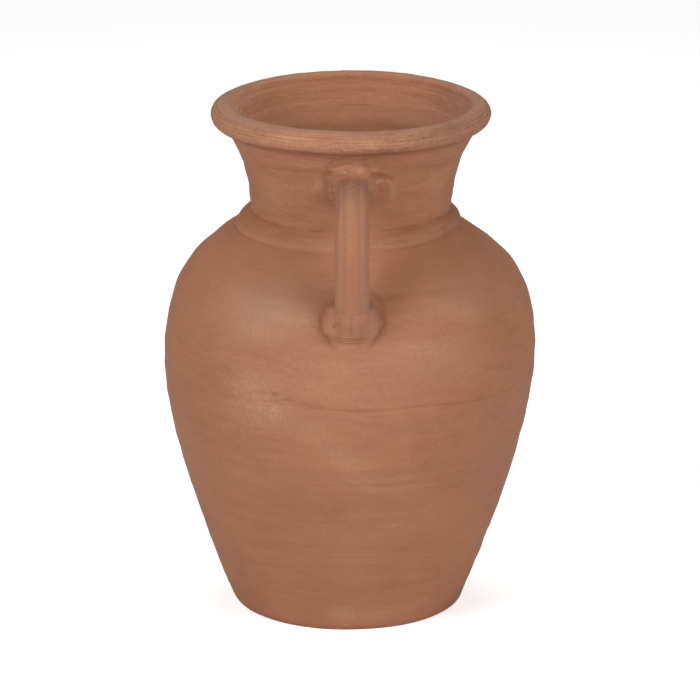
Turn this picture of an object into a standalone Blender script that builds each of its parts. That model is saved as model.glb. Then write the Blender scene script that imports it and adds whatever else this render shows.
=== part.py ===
"""Hand-built terracotta jug with one ear handle, as the clay sections it is luted together from.

A lower bowl and an upper shell meet at a scarf joint on the belly. The neck stands on a flat
land around the mouth, with a small coil over its joint. A rolled lip straddles the top edge of
the neck, and a strap handle is seated on two pads of clay, on the shoulder and on the neck.

Metres, +Z up. The origin is the centre of the flat foot, on the ground. The handle points
towards -Y, and the jug is symmetric about the YZ plane. Every joint keeps a thin slip film.
"""

import math

import bmesh
import bpy
import numpy as np
from mathutils import Matrix, Vector

# ---------------------------------------------------------------- driving dimensions (m)
HEIGHT = 0.300              # foot to the top of the lip
FOOT_RADIUS = 0.0658        # flat resting face
FOOT_EDGE_HEIGHT = 0.0044   # rounded edge between the foot and the wall
FOOT_WALL_RADIUS = 0.0687   # wall radius just above the rounded edge
FOOT_FLARE = 0.42           # the wall's outward slope there
BELLY_RADIUS = 0.1083       # widest point of the jug
BELLY_Z = 0.1545

WALL = 0.0080               # thickness of the thrown wall
FLOOR = 0.0100              # thickness of the floor
SLIP = 0.0003               # slip film left in the joints
SEAM_Z = 0.1460             # belly joint, on the outside
SEAM_RISE = 0.0035          # the scarf climbs this much from outside to inside
SEAM_INNER_Z = SEAM_Z + SEAM_RISE

COLLAR_FOOT_Z = 0.2278      # the coil around the neck joint: lower edge on the shoulder
COLLAR_FOOT_RADIUS = 0.0651
COLLAR_TOP_Z = 0.2373       # and its upper crease against the neck
NECK_RADIUS = 0.0581        # outside of the neck at that crease

MOUTH_RADIUS = 0.0504       # inside of the neck at its foot
NECK_SEAT_Z = 0.2322        # flat land around the mouth that the neck stands on
NECK_TOP_Z = 0.2870         # outer corner of the neck's top edge, under the lip
NECK_LEDGE_Z = NECK_TOP_Z + 0.0009   # inner corner of that edge
RIDGE_HEIGHT = 0.0040       # nominal height of the ridge that runs up into the lip's groove

LIP_CORNER = 0.0030         # radius of the lip's softer inner corner
LIP_CORNER_RADIUS = 0.0705  # distance of the corner's centre from the axis
LIP_CORNER_Z = HEIGHT - LIP_CORNER

AROUND = 40                 # segments of a full turn

# outside of the body above the rounded foot, as (height, radius)
BODY_STATIONS = [
    (FOOT_EDGE_HEIGHT, FOOT_WALL_RADIUS),
    (0.020, 0.0749),
    (0.040, 0.0821),
    (0.075, 0.0938),
    (0.105, 0.1019),
    (0.135, 0.1073),
    (BELLY_Z, BELLY_RADIUS),
    (0.180, 0.1049),
    (0.200, 0.0962),
    (0.215, 0.0819),
    (COLLAR_FOOT_Z, COLLAR_FOOT_RADIUS),
    (0.232, 0.0595),
]
# outside of the neck, as (height, radius)
NECK_STATIONS = [
    (0.228, 0.0583),
    (COLLAR_TOP_Z, NECK_RADIUS),
    (0.248, 0.0591),
    (0.260, 0.0612),
    (0.270, 0.0645),
    (0.280, 0.0692),
    (0.289, 0.0762),
    (0.296, 0.0833),
]
# inside of the neck and lip, opening like a funnel, as (height, radius)
NECK_INSIDE_STATIONS = [
    (NECK_SEAT_Z, MOUTH_RADIUS),
    (COLLAR_TOP_Z, MOUTH_RADIUS),
    (0.248, 0.0514),
    (0.260, 0.0536),
    (0.270, 0.0567),
    (0.280, 0.0609),
    (0.288, 0.0646),
    (0.294, 0.0668),
    (LIP_CORNER_Z, LIP_CORNER_RADIUS - LIP_CORNER),
]


# ---------------------------------------------------------------- curves in the section plane
def smooth_curve(stations):
    """Natural cubic spline through (height, radius) stations: radius as a function of height."""
    knots, radii = np.array(stations, float).T
    count = len(knots)
    gaps = np.diff(knots)
    slopes = np.diff(radii) / gaps
    system = np.zeros((count, count))
    target = np.zeros(count)
    system[0, 0] = system[-1, -1] = 1.0
    for i in range(1, count - 1):
        system[i, i - 1] = gaps[i - 1]
        system[i, i] = 2 * (gaps[i - 1] + gaps[i])
        system[i, i + 1] = gaps[i]
        target[i] = 6 * (slopes[i] - slopes[i - 1])
    bends = np.linalg.solve(system, target)  # second derivatives at the stations

    def radius_at(z):
        i = int(np.clip(np.searchsorted(knots, z) - 1, 0, count - 2))
        gap = gaps[i]
        above, below = z - knots[i], knots[i + 1] - z
        return float(
            (bends[i] * below**3 + bends[i + 1] * above**3) / (6 * gap)
            + (radii[i] / gap - bends[i] * gap / 6) * below
            + (radii[i + 1] / gap - bends[i + 1] * gap / 6) * above
        )

    return radius_at


body_radius = smooth_curve(BODY_STATIONS)
neck_radius = smooth_curve(NECK_STATIONS)
neck_inside = smooth_curve(NECK_INSIDE_STATIONS)


def heights(start, end, count):
    return [start + (end - start) * i / (count - 1) for i in range(count)]


def along(curve, levels, offset=0.0):
    """Section points (radius, z) on a curve at these heights, moved outwards by the offset."""
    return [(curve(z) + offset, z) for z in levels]


def inside_of(outer):
    """The wall's inner face: each outer point moved along its normal, towards the axis."""
    points = []
    for i, (radius, z) in enumerate(outer):
        radius_before, z_before = outer[max(i - 1, 0)]
        radius_after, z_after = outer[min(i + 1, len(outer) - 1)]
        run, rise = radius_after - radius_before, z_after - z_before
        length = math.hypot(run, rise)
        points.append((radius - WALL * rise / length, z + WALL * run / length))
    return points


def arc(centre_radius, centre_z, size, start, end, count):
    """Points on a circle in the section plane, from one angle in degrees to another."""
    points = []
    for degrees in heights(start, end, count):
        angle = math.radians(degrees)
        points.append((centre_radius + size * math.cos(angle), centre_z + size * math.sin(angle)))
    return points


# ---------------------------------------------------------------- scene and materials
for old in list(bpy.data.objects):
    bpy.data.objects.remove(old, do_unlink=True)

jug = bpy.data.collections.new("terracotta_jug")
tools = bpy.data.collections.new("cutters")
bpy.context.scene.collection.children.link(jug)
bpy.context.scene.collection.children.link(tools)
origin = bpy.data.objects.new("foot_centre", None)
jug.objects.link(origin)


def clay(name, colour, roughness):
    material = bpy.data.materials.new(name)
    material.use_nodes = True
    shader = material.node_tree.nodes["Principled BSDF"]
    shader.inputs["Base Color"].default_value = (*colour, 1.0)
    shader.inputs["Roughness"].default_value = roughness
    shader.inputs["Metallic"].default_value = 0.0
    return material


CLAY_BODY = clay("fired_clay_body", colour=(0.42, 0.17, 0.09), roughness=0.85)
CLAY_NECK = clay("fired_clay_neck", colour=(0.40, 0.16, 0.085), roughness=0.85)
CLAY_LIP = clay("fired_clay_lip", colour=(0.46, 0.20, 0.11), roughness=0.82)
CLAY_HANDLE = clay("fired_clay_handle", colour=(0.41, 0.17, 0.10), roughness=0.84)


# ---------------------------------------------------------------- object helpers
def add_object(name, data, material=None):
    """A piece of the jug if it has a material, otherwise a hidden helper."""
    obj = bpy.data.objects.new(name, data)
    obj.parent = origin
    if material is None:
        tools.objects.link(obj)
        obj.hide_render = True
        obj.display_type = "WIRE"
    else:
        jug.objects.link(obj)
        data.materials.append(material)
    return obj


def turned(name, section, material=None, closed=True):
    """A section in the XZ plane, turned about Z.

    Its (radius, z) points run down the outer side and up the inner side. An open section
    starts and ends on the axis.
    """
    mesh = bpy.data.meshes.new(name)
    edges = [(i, i + 1) for i in range(len(section) - 1)]
    if closed:
        edges.append((len(section) - 1, 0))
    mesh.from_pydata([(radius, 0.0, z) for radius, z in section], edges, [])
    obj = add_object(name, mesh, material)
    screw = obj.modifiers.new("turn", "SCREW")
    screw.axis = "Z"
    screw.steps = screw.render_steps = AROUND
    screw.use_merge_vertices = True
    screw.merge_threshold = 0.00001
    screw.use_smooth_shade = True
    return obj


def difference(obj, cutter, name):
    cut = obj.modifiers.new(name, "BOOLEAN")
    cut.operation = "DIFFERENCE"
    cut.solver = "EXACT"
    cut.object = cutter


def soften(obj):
    """Smooth shading with the real edges kept sharp."""
    obj.data.shade_smooth()
    obj.data.set_sharp_from_angle(angle=math.radians(40))


# ---------------------------------------------------------------- lower bowl
FOOT_EDGE_STEPS = 4
INNER_WALL_START = 0.010    # the inner wall begins this far above the floor
SEAM_CLEAR = 0.004          # inner wall points stay this far from the scarf's inner edge or base
# rounded corner inside, as (inwards from the foot of the inner wall, up from the floor)
FLOOR_EDGE = [(0.0130, 0.0), (0.0075, 0.0012), (0.0035, 0.0045)]


def foot_edge():
    """Rounded edge from the flat foot up to the wall, meeting the wall at its own slope."""
    bulge = FOOT_WALL_RADIUS - FOOT_RADIUS - FOOT_FLARE * FOOT_EDGE_HEIGHT
    points = []
    for i in range(FOOT_EDGE_STEPS):
        angle = math.pi / 2 * i / FOOT_EDGE_STEPS
        z = FOOT_EDGE_HEIGHT * (1 - math.cos(angle))
        points.append((FOOT_RADIUS + bulge * math.sin(angle) + FOOT_FLARE * z, z))
    return points


def seam_inner(gap):
    """Inner end of the scarf, moved up by the gap."""
    return (body_radius(SEAM_INNER_Z) - WALL, SEAM_INNER_Z + gap)


def build_lower_bowl():
    outer = foot_edge() + along(body_radius, heights(FOOT_EDGE_HEIGHT, SEAM_Z - SLIP / 2, 12))
    inner = [
        (radius, z) for radius, z in inside_of(outer)
        if FLOOR + INNER_WALL_START < z < SEAM_Z - SEAM_CLEAR
    ]
    wall_foot = inner[0][0]
    section = [(0.0, FLOOR)]
    section += [(wall_foot - inwards, FLOOR + up) for inwards, up in FLOOR_EDGE]
    section += inner + [seam_inner(-SLIP / 2)] + outer[::-1] + [(0.0, 0.0)]
    turned("lower_bowl", section, CLAY_BODY, closed=False)


# ---------------------------------------------------------------- upper shell
SHELL_COARSE_TOP_Z = 0.2180  # wide spacing of the outer points up to here
SHELL_FINE_FOOT_Z = 0.2214   # and close spacing from here to the seat
SEAT_CHAMFER = (0.0003, 0.0006)  # width and height of the bevel around the flat seat
MOUTH_CLEAR = 0.006          # inner wall points stay this far outside the mouth
# edge of the mouth, as (outwards from the mouth, down from the seat)
MOUTH_EDGE = [(0.0012, 0.0042), (0.0, 0.0020), (0.0, 0.0)]


def build_upper_shell():
    chamfer_width, chamfer_height = SEAT_CHAMFER
    outer = along(
        body_radius,
        heights(SEAM_Z + SLIP / 2, SHELL_COARSE_TOP_Z, 11)
        + heights(SHELL_FINE_FOOT_Z, NECK_SEAT_Z - chamfer_height, 4),
    )
    inner = [
        (radius, z) for radius, z in inside_of(outer)
        if z > SEAM_INNER_Z + SEAM_CLEAR and radius > MOUTH_RADIUS + MOUTH_CLEAR
    ]
    section = [(outer[-1][0] - chamfer_width, NECK_SEAT_Z)] + outer[::-1]
    section += [seam_inner(SLIP / 2)] + inner
    section += [(MOUTH_RADIUS + outwards, NECK_SEAT_Z - down) for outwards, down in MOUTH_EDGE]
    turned("upper_shell", section, CLAY_BODY)


# ---------------------------------------------------------------- neck
# the ridge on the neck's top edge, measured from that edge's outer corner
neck_top_corner = Vector((neck_radius(NECK_TOP_Z), NECK_TOP_Z))
ridge_outer = neck_top_corner + Vector((0.0005, 0.65 * RIDGE_HEIGHT))
ridge_crest = neck_top_corner + Vector((-0.0035, 1.10 * RIDGE_HEIGHT))
ridge_inner_foot = neck_top_corner + Vector((-0.0047, 0.0014))


def build_neck():
    foot_z = NECK_SEAT_Z + SLIP
    section = [tuple(ridge_outer)]
    section += along(neck_radius, heights(NECK_TOP_Z, foot_z, 10))
    section += along(neck_inside, heights(foot_z, NECK_LEDGE_Z, 9))
    section += [tuple(ridge_inner_foot), tuple(ridge_crest)]
    turned("neck", section, CLAY_NECK)


# ---------------------------------------------------------------- collar coil over the neck joint
COLLAR_BULGE = 0.00203      # most the coil's outside stands off a straight slope
COLLAR_STEPS = 8
COLLAR_NECK_GAP = 2 * SLIP
COLLAR_SEAT_GAP = 0.0004    # the underside is this far out and up from the shoulder
COLLAR_EDGE_OFFSET = (0.0006, 0.0004)  # lower edge, out and up from its nominal place
COLLAR_HEEL_RISE = 0.0006   # inner bottom corner above the neck's seat
COLLAR_SEAT_START = 0.0003  # the underside's levels start this far above the lower edge
COLLAR_SEAT_STOP = 0.0009   # and end this far below the neck's seat


def build_neck_collar():
    section = [(NECK_RADIUS + COLLAR_NECK_GAP, COLLAR_TOP_Z)]
    for i in range(1, COLLAR_STEPS):
        t = i / COLLAR_STEPS
        slope_radius = NECK_RADIUS + (COLLAR_FOOT_RADIUS - NECK_RADIUS) * t
        z = COLLAR_TOP_Z + (COLLAR_FOOT_Z - COLLAR_TOP_Z) * t
        section.append((slope_radius + COLLAR_BULGE * 4 * t * (1 - t), z))
    edge_out, edge_up = COLLAR_EDGE_OFFSET
    section.append((COLLAR_FOOT_RADIUS + edge_out, COLLAR_FOOT_Z + edge_up))
    levels = heights(COLLAR_FOOT_Z + COLLAR_SEAT_START, NECK_SEAT_Z - COLLAR_SEAT_STOP, 3)
    # the lower edge above stands in for the first level
    for z in levels[1:]:
        section.append((body_radius(z) + COLLAR_SEAT_GAP, z + COLLAR_SEAT_GAP))
    section.append((neck_radius(NECK_SEAT_Z) + COLLAR_NECK_GAP, NECK_SEAT_Z + COLLAR_HEEL_RISE))
    turned("neck_collar", section, CLAY_NECK)


# ---------------------------------------------------------------- rolled lip
LIP_ROLL = 0.0060           # radius of the lip's outer roll
LIP_ROLL_RADIUS = 0.0748    # distance of the roll's centre from the axis
LIP_ROLL_Z = 0.2935
LIP_LEDGE_GAP = 0.0004      # film over the neck's inner ledge
GROOVE_OUTER_GAP = 0.0004   # groove clear of the ridge on its outer side
GROOVE_MOUTH_RISE = 0.0005  # the groove's outer side ends this far above the roll's first point


def build_rolled_lip():
    """The lip, grooved underneath for the neck's ridge."""
    roll = arc(LIP_ROLL_RADIUS, LIP_ROLL_Z, LIP_ROLL, start=-82, end=90, count=13)
    corner = arc(LIP_CORNER_RADIUS, LIP_CORNER_Z, LIP_CORNER, start=90, end=180, count=5)
    inner_face = along(neck_inside, heights(LIP_CORNER_Z, NECK_LEDGE_Z + LIP_LEDGE_GAP, 4))
    groove = [
        tuple(ridge_inner_foot + Vector((-0.0003, 0.00035))),
        tuple(ridge_crest + Vector((-0.0003, 0.00045))),
        tuple(ridge_outer + Vector((GROOVE_OUTER_GAP, 0.00035))),
        (ridge_outer.x + GROOVE_OUTER_GAP, roll[0][1] + GROOVE_MOUTH_RISE),
    ]
    # the corner already ends on the first point of the inner face
    upwards_outside = roll + corner + inner_face[1:] + groove
    turned("rolled_lip", upwards_outside[::-1], CLAY_LIP)


# ---------------------------------------------------------------- handle pads
HANDLE_LOWER_Z = 0.1905     # where the strap's centre line meets the shoulder
HANDLE_UPPER_Z = 0.2655     # and the neck
WALL_FILM = 0.0005          # the wall cutters stand this proud of the jug
PAD_FILM = SLIP * 1.4       # and the pad cutters this proud of the pads
LOWER_PAD_Z = 0.1945

# half width, half thickness, half height
LOWER_PAD_SIZE = (0.0178, 0.0072, 0.0165)
UPPER_PAD_SIZE = (0.0235, 0.0068, 0.0155)
# centre's distance from the axis, its height, and the top's outward lean
LOWER_PAD_PLACE = (body_radius(LOWER_PAD_Z) - 0.0012, LOWER_PAD_Z, math.radians(-26))
UPPER_PAD_PLACE = (neck_radius(HANDLE_UPPER_Z) - 0.0006, HANDLE_UPPER_Z, math.radians(20))


def wall_tool(name, curve, low, high, count):
    """The jug's outside as a solid, standing proud by the slip film."""
    outer = along(curve, heights(high, low, count), WALL_FILM)
    return turned(name, [(0.0, high)] + outer + [(0.0, low)], closed=False)


def ellipsoid(name, place, size, material=None):
    """An ellipsoid sunk in the wall on the -Y side, with its poles along its thickness."""
    mesh = bpy.data.meshes.new(name)
    shape = bmesh.new()
    bmesh.ops.create_uvsphere(shape, u_segments=22, v_segments=12, radius=1.0)
    quarter_turn = Matrix.Rotation(math.pi / 2, 3, "X")
    bmesh.ops.rotate(shape, cent=(0, 0, 0), matrix=quarter_turn, verts=shape.verts)
    bmesh.ops.scale(shape, vec=size, verts=shape.verts)
    shape.to_mesh(mesh)
    shape.free()
    obj = add_object(name, mesh, material)
    radius, z, lean = place
    obj.location = (0.0, -radius, z)
    obj.rotation_euler = (lean, 0.0, 0.0)
    return obj


def build_pad(side, place, size, wall):
    """A thumbed pad of clay with its back cut to the wall. Returns the cutter for the strap."""
    pad = ellipsoid(f"handle_{side}_pad", place, size, CLAY_HANDLE)
    difference(pad, wall, "wall")
    soften(pad)
    grown = tuple(half + PAD_FILM for half in size)
    return ellipsoid(f"{side}_pad_tool", place, grown)


# ---------------------------------------------------------------- strap handle
STRAP_WIDTH = 0.0195        # side to side
STRAP_THICKNESS = 0.0130    # across the strap, in the YZ plane
STRAP_POINTS = 16
STRAP_ROUNDING = 0.75       # 1 is an ellipse; smaller is squarer
HANDLE_REACH = 0.1060       # centre line's distance from the jug's axis at the grip
PATH_STEPS = 4              # between two points of the centre line
WELD_DISTANCE = 0.00002

# centre line in the YZ plane, as (distance from the axis, height, section scale)
upper_out = neck_radius(HANDLE_UPPER_Z)
lower_out = body_radius(HANDLE_LOWER_Z)
HANDLE_LINE = [
    (upper_out - 0.0045, HANDLE_UPPER_Z, 1.05),
    (upper_out + 0.0150, HANDLE_UPPER_Z + 0.0020, 1.02),
    (upper_out + 0.0310, HANDLE_UPPER_Z - 0.0045, 1.00),
    (HANDLE_REACH - 0.0025, 0.2450, 1.00),
    (HANDLE_REACH, 0.2280, 1.00),
    (HANDLE_REACH + 0.0005, 0.2110, 1.00),
    (lower_out + 0.0050, HANDLE_LOWER_Z + 0.0045, 1.02),
    (lower_out - 0.0040, HANDLE_LOWER_Z - 0.0060, 1.02),
]


def build_strap_outline():
    """The strap's section: a rounded rectangle, between an ellipse and a box."""
    curve = bpy.data.curves.new("strap_section", "CURVE")
    curve.dimensions = "2D"
    outline = curve.splines.new("POLY")
    outline.points.add(STRAP_POINTS - 1)
    for i, point in enumerate(outline.points):
        angle = 2 * math.pi * i / STRAP_POINTS
        across, through = (
            math.copysign(abs(part) ** STRAP_ROUNDING, part)
            for part in (math.cos(angle), math.sin(angle))
        )
        point.co = (STRAP_WIDTH / 2 * across, STRAP_THICKNESS / 2 * through, 0.0, 1.0)
    outline.use_cyclic_u = True
    return add_object("strap_outline", curve)


def rounded_path(points, steps):
    """Catmull-Rom curve through the points."""
    padded = np.array([points[0]] + points + [points[-1]], float)
    path = []
    for before, start, end, after in zip(padded, padded[1:], padded[2:], padded[3:]):
        for k in range(steps):
            t = k / steps
            path.append(0.5 * (
                2 * start
                + (end - before) * t
                + (2 * before - 5 * start + 4 * end - after) * t**2
                + (3 * start - before - 3 * end + after) * t**3
            ))
    path.append(padded[-1])
    return path


def swept_strap():
    """The strap's section swept along the centre line, as a welded mesh."""
    line = bpy.data.curves.new("handle_line", "CURVE")
    line.dimensions = "3D"
    line.twist_mode = "MINIMUM"
    line.bevel_mode = "OBJECT"
    line.bevel_object = build_strap_outline()
    line.use_fill_caps = True
    path = rounded_path(HANDLE_LINE, PATH_STEPS)
    spline = line.splines.new("POLY")
    spline.points.add(len(path) - 1)
    for point, (out, z, scale) in zip(spline.points, path):
        point.co = (0.0, -out, z, 1.0)
        point.radius = scale
    sweep = bpy.data.objects.new("handle_curve", line)
    tools.objects.link(sweep)

    bpy.context.view_layer.update()
    graph = bpy.context.evaluated_depsgraph_get()
    mesh = bpy.data.meshes.new_from_object(sweep.evaluated_get(graph))
    bpy.data.objects.remove(sweep, do_unlink=True)

    # join the end caps to the sweep, so that the cuts work on a closed solid
    weld = bmesh.new()
    weld.from_mesh(mesh)
    bmesh.ops.remove_doubles(weld, verts=weld.verts, dist=WELD_DISTANCE)
    bmesh.ops.recalc_face_normals(weld, faces=weld.faces)
    weld.to_mesh(mesh)
    weld.free()
    mesh.name = "handle"
    mesh.materials.clear()
    return mesh


def build_handle():
    """The two pads, and the strap cut to the pads and the wall."""
    shoulder = wall_tool("shoulder_tool", body_radius, low=0.1480, high=0.2260, count=19)
    neck = wall_tool("neck_tool", neck_radius, low=0.2300, high=0.2880, count=17)
    lower_seat = build_pad("lower", LOWER_PAD_PLACE, LOWER_PAD_SIZE, shoulder)
    upper_seat = build_pad("upper", UPPER_PAD_PLACE, UPPER_PAD_SIZE, neck)
    handle = add_object("handle", swept_strap(), CLAY_HANDLE)
    difference(handle, lower_seat, "lower_seat")
    difference(handle, upper_seat, "upper_seat")
    difference(handle, shoulder, "shoulder")
    difference(handle, neck, "neck")
    soften(handle)


build_lower_bowl()
build_upper_shell()
build_neck()
build_neck_collar()
build_rolled_lip()
build_handle()
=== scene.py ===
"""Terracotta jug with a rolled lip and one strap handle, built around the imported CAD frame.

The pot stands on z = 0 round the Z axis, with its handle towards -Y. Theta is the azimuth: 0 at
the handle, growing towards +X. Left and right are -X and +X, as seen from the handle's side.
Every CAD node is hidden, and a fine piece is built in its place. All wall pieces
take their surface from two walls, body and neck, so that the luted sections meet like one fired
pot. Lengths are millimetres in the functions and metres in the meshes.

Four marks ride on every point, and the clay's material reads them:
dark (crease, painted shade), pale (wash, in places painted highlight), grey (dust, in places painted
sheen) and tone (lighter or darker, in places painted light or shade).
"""

import functools
import math

import bpy
import numpy as np
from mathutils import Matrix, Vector


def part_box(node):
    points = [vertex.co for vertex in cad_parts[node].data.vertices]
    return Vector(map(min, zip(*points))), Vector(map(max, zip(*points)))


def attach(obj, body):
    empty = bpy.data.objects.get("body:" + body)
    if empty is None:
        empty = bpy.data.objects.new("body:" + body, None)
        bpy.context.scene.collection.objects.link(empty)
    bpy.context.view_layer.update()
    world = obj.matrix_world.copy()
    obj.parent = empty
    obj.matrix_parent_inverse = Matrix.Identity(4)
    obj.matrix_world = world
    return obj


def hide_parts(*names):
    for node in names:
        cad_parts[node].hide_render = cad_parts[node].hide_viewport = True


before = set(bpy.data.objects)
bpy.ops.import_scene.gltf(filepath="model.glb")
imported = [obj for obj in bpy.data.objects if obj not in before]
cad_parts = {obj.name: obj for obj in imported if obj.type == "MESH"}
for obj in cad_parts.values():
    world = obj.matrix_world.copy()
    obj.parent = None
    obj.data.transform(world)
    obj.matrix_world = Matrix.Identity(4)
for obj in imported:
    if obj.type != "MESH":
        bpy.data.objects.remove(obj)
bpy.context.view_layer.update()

# ------------------------------------------------------------------ sizes, from the CAD frame
MM = 0.001
lip_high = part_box("rolled_lip")[1]
shell_low, shell_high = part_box("upper_shell")
HEIGHT = lip_high.z / MM
LIP_OUT_R = lip_high.x / MM
BELLY_R = shell_high.x / MM
SEAM_Z = shell_low.z / MM - 0.15               # belly joint
LAND_Z = shell_high.z / MM                     # flat land round the mouth
COLLAR_TOP_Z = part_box("neck_collar")[1].z / MM
HANDLE_OUT = -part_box("handle")[0].y / MM       # furthest reach of the strap's outer face

WALL = 8.0
FLOOR = 10.0
FOOT_R = 65.8
FOOT_EDGE = 4.4                                # height of the rounded foot edge
FOOT_WALL_R = 68.7
FOOT_FLARE = 0.42                              # the wall's slope where it meets the rounded foot
GAP = 0.02                                     # pieces meet, and stay separate solids
SEGMENTS = 320
PITCH = 0.75                                   # row spacing of the visible walls

# (height, radius)
BODY = [
    (FOOT_EDGE, FOOT_WALL_R), (20.0, 74.9), (40.0, 82.1), (75.0, 93.8), (105.0, 101.9),
    (135.0, 107.3), (154.5, BELLY_R), (180.0, 104.9), (200.0, 96.2), (215.0, 81.9),
    (227.8, 65.1), (232.0, 59.5),
]
NECK = [
    (228.0, 58.3), (COLLAR_TOP_Z, 58.1), (248.0, 59.1), (260.0, 61.2), (270.0, 64.5),
    (280.0, 69.2), (289.0, 76.2), (296.0, 83.3),
]
NECK_INSIDE = [
    (LAND_Z, 50.4), (COLLAR_TOP_Z, 50.4), (248.0, 51.4), (260.0, 53.6), (270.0, 56.7),
    (280.0, 60.9), (288.0, 64.6), (294.0, 66.8), (297.0, 67.5),
]
# a hand-made pot isn't quite plumb: (height, drift of the centre in X)
LEAN = [
    (-5.0, -1.4), (30.0, -1.5), (60.0, -1.0), (90.0, -1.0), (120.0, -0.8), (145.0, -0.3),
    (165.0, 0.25), (180.0, 0.4), (195.0, 0.2), (210.0, -0.4), (225.0, -0.6), (240.0, 0.5),
    (260.0, 0.8), (285.0, 0.75), (305.0, 0.2),
]


class Curve:
    """Natural cubic spline through (x, y) stations."""

    def __init__(self, stations):
        self.x, self.y = np.array(stations, float).T
        count, step = len(self.x), np.diff(self.x)
        rise = np.diff(self.y) / step
        matrix, change = np.zeros((count, count)), np.zeros(count)
        matrix[0, 0] = matrix[-1, -1] = 1.0
        for i in range(1, count - 1):
            matrix[i, i - 1:i + 2] = step[i - 1], 2 * (step[i - 1] + step[i]), step[i]
            change[i] = 6 * (rise[i] - rise[i - 1])
        self.bend = np.linalg.solve(matrix, change)

    def __call__(self, at):
        at = np.asarray(at, float)
        i = np.clip(np.searchsorted(self.x, at) - 1, 0, len(self.x) - 2)
        step = self.x[i + 1] - self.x[i]
        past, ahead = at - self.x[i], self.x[i + 1] - at
        bend, next_bend = self.bend[i], self.bend[i + 1]
        return (
            (bend * ahead**3 + next_bend * past**3) / (6 * step)
            + (self.y[i] / step - bend * step / 6) * ahead
            + (self.y[i + 1] / step - next_bend * step / 6) * past
        )

    def slope(self, at):
        return (self(np.asarray(at) + 0.05) - self(np.asarray(at) - 0.05)) / 0.1

    def climb(self, at):
        """Height gained per mm along the curve."""
        return 1 / math.sqrt(1 + self.slope(at) ** 2)


body_r = Curve(BODY)
neck_r = Curve(NECK)
neck_in = Curve(NECK_INSIDE)
lean_x = Curve(LEAN)


# ------------------------------------------------------------------ shaping functions
def smooth(low, high, x):
    share = np.clip((np.asarray(x, float) - low) / (high - low), 0.0, 1.0)
    return share * share * (3 - 2 * share)


def bell(x, centre, half, power=2):
    """1 at the centre and 0.37 at the half width; a higher power gives a flatter top."""
    return np.exp(-(((x - centre) / half) ** power))


def bells(x, table):
    """Sum of bells from (centre, half width, size) entries."""
    return sum(size * bell(x, centre, half) for centre, half, size in table)


def oval(x, y, wide, tall):
    """Two-way bell round 0, 0."""
    return np.exp(-((x / wide) ** 2 + (y / tall) ** 2))


def spot(theta, z, at, height, wide, tall, turn=0.0, radius=100.0):
    """Soft ellipse on the pot, at an azimuth in degrees, turned by degrees."""
    across = (theta - math.radians(at)) * radius
    up = z - height
    cosine, sine = math.cos(math.radians(turn)), math.sin(math.radians(turn))
    return oval(across * cosine + up * sine, -across * sine + up * cosine, wide, tall)


def span(theta, start, end, fade=6.0):
    """1 between two azimuths in degrees, fading out at both ends."""
    degrees = np.degrees(theta)
    return smooth(start - fade, start + fade, degrees) * (
        1 - smooth(end - fade, end + fade, degrees))


def stroke(x, y, points, half):
    """1 on a line through the points, 0.37 at the half width."""
    near = np.full(np.broadcast(x, y).shape, 1e9)
    for (x0, y0), (x1, y1) in zip(points[:-1], points[1:]):
        dx, dy = x1 - x0, y1 - y0
        share = np.clip(((x - x0) * dx + (y - y0) * dy) / (dx * dx + dy * dy), 0, 1)
        near = np.minimum(near, (x - x0 - share * dx) ** 2 + (y - y0 - share * dy) ** 2)
    return np.exp(-near / half**2)


def larger(first, second, blend):
    """The larger of two heights, with their crossing filled over this much."""
    return (first + second + np.sqrt((first - second) ** 2 + blend**2)) / 2


def superellipse(across, up, power):
    """Reach of a superellipse in a direction given in units of its half sizes."""
    return (np.abs(across) ** power + np.abs(up) ** power) ** (-1 / power)


def path(points):
    """Height of a line round the pot, from (degrees, height) points; level beyond them."""
    azimuths = np.radians([point[0] for point in points])
    heights = np.array([point[1] for point in points], float)
    return lambda theta: np.interp(theta, azimuths, heights)


def waves(seed, shortest, longest, count, turns):
    """Unit-RMS sum of cosines in (azimuth, height): wavelengths in mm, whole turns round the pot."""
    rng = np.random.default_rng(seed)
    length = np.exp(rng.uniform(math.log(shortest), math.log(longest), count))
    winding = rng.integers(-turns, turns + 1, count)
    phase = rng.uniform(0, math.tau, count)
    size = rng.uniform(0.6, 1.0, count)
    size = size / math.sqrt((size**2).sum() / 2)

    def at(theta, z):
        total = np.zeros(np.broadcast(theta, z).shape)
        for k in range(count):
            wave = np.cos(math.tau * z / length[k] + winding[k] * theta + phase[k])
            total = total + size[k] * wave
        return total

    return at


# seed, shortest and longest wave, how many, most turns
unround = waves(11, 160, 500, 7, 4)
ripple = waves(12, 13, 30, 12, 1)
ridges = waves(13, 4.5, 9, 16, 1)
lines = waves(14, 1.9, 3.6, 26, 1)
patches = waves(15, 35, 120, 14, 5)
patches2 = waves(16, 18, 70, 18, 9)
inner_rings = waves(17, 7.5, 11, 5, 1)
dabs = waves(18, 6, 22, 24, 40)
scratches = waves(19, 1.1, 2.6, 16, 3)


def patchy(field, theta, z):
    return smooth(-0.4, 1.4, field(theta, z))


# ------------------------------------------------------------------ relief and marks of the walls
seam_path = path([
    (-180, 146.0), (-70, 146.6), (-30, 148.2), (-18, 148.8), (-8, 147.4), (0, 146.7), (10, 146.2),
    (19, 147.2), (30, 146.1), (42, 144.4), (70, 145.0), (110, 146.4), (180, 146.0),
])
collar_top_path = path([
    (-180, 237.3), (-90, 237.9), (-50, 237.0), (-20, 237.4), (5, 237.6), (31, 238.1),
    (45, 238.6), (65, 238.2), (90, 236.8), (130, 237.0), (180, 237.3),
])
collar_foot_path = path([
    (-180, 227.8), (-69, 227.5), (-35, 227.9), (-10, 227.9), (2, 228.6), (12, 229.5),
    (26, 228.9), (36, 228.9), (68, 230.0), (90, 228.8), (130, 227.6), (180, 227.8),
])


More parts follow.
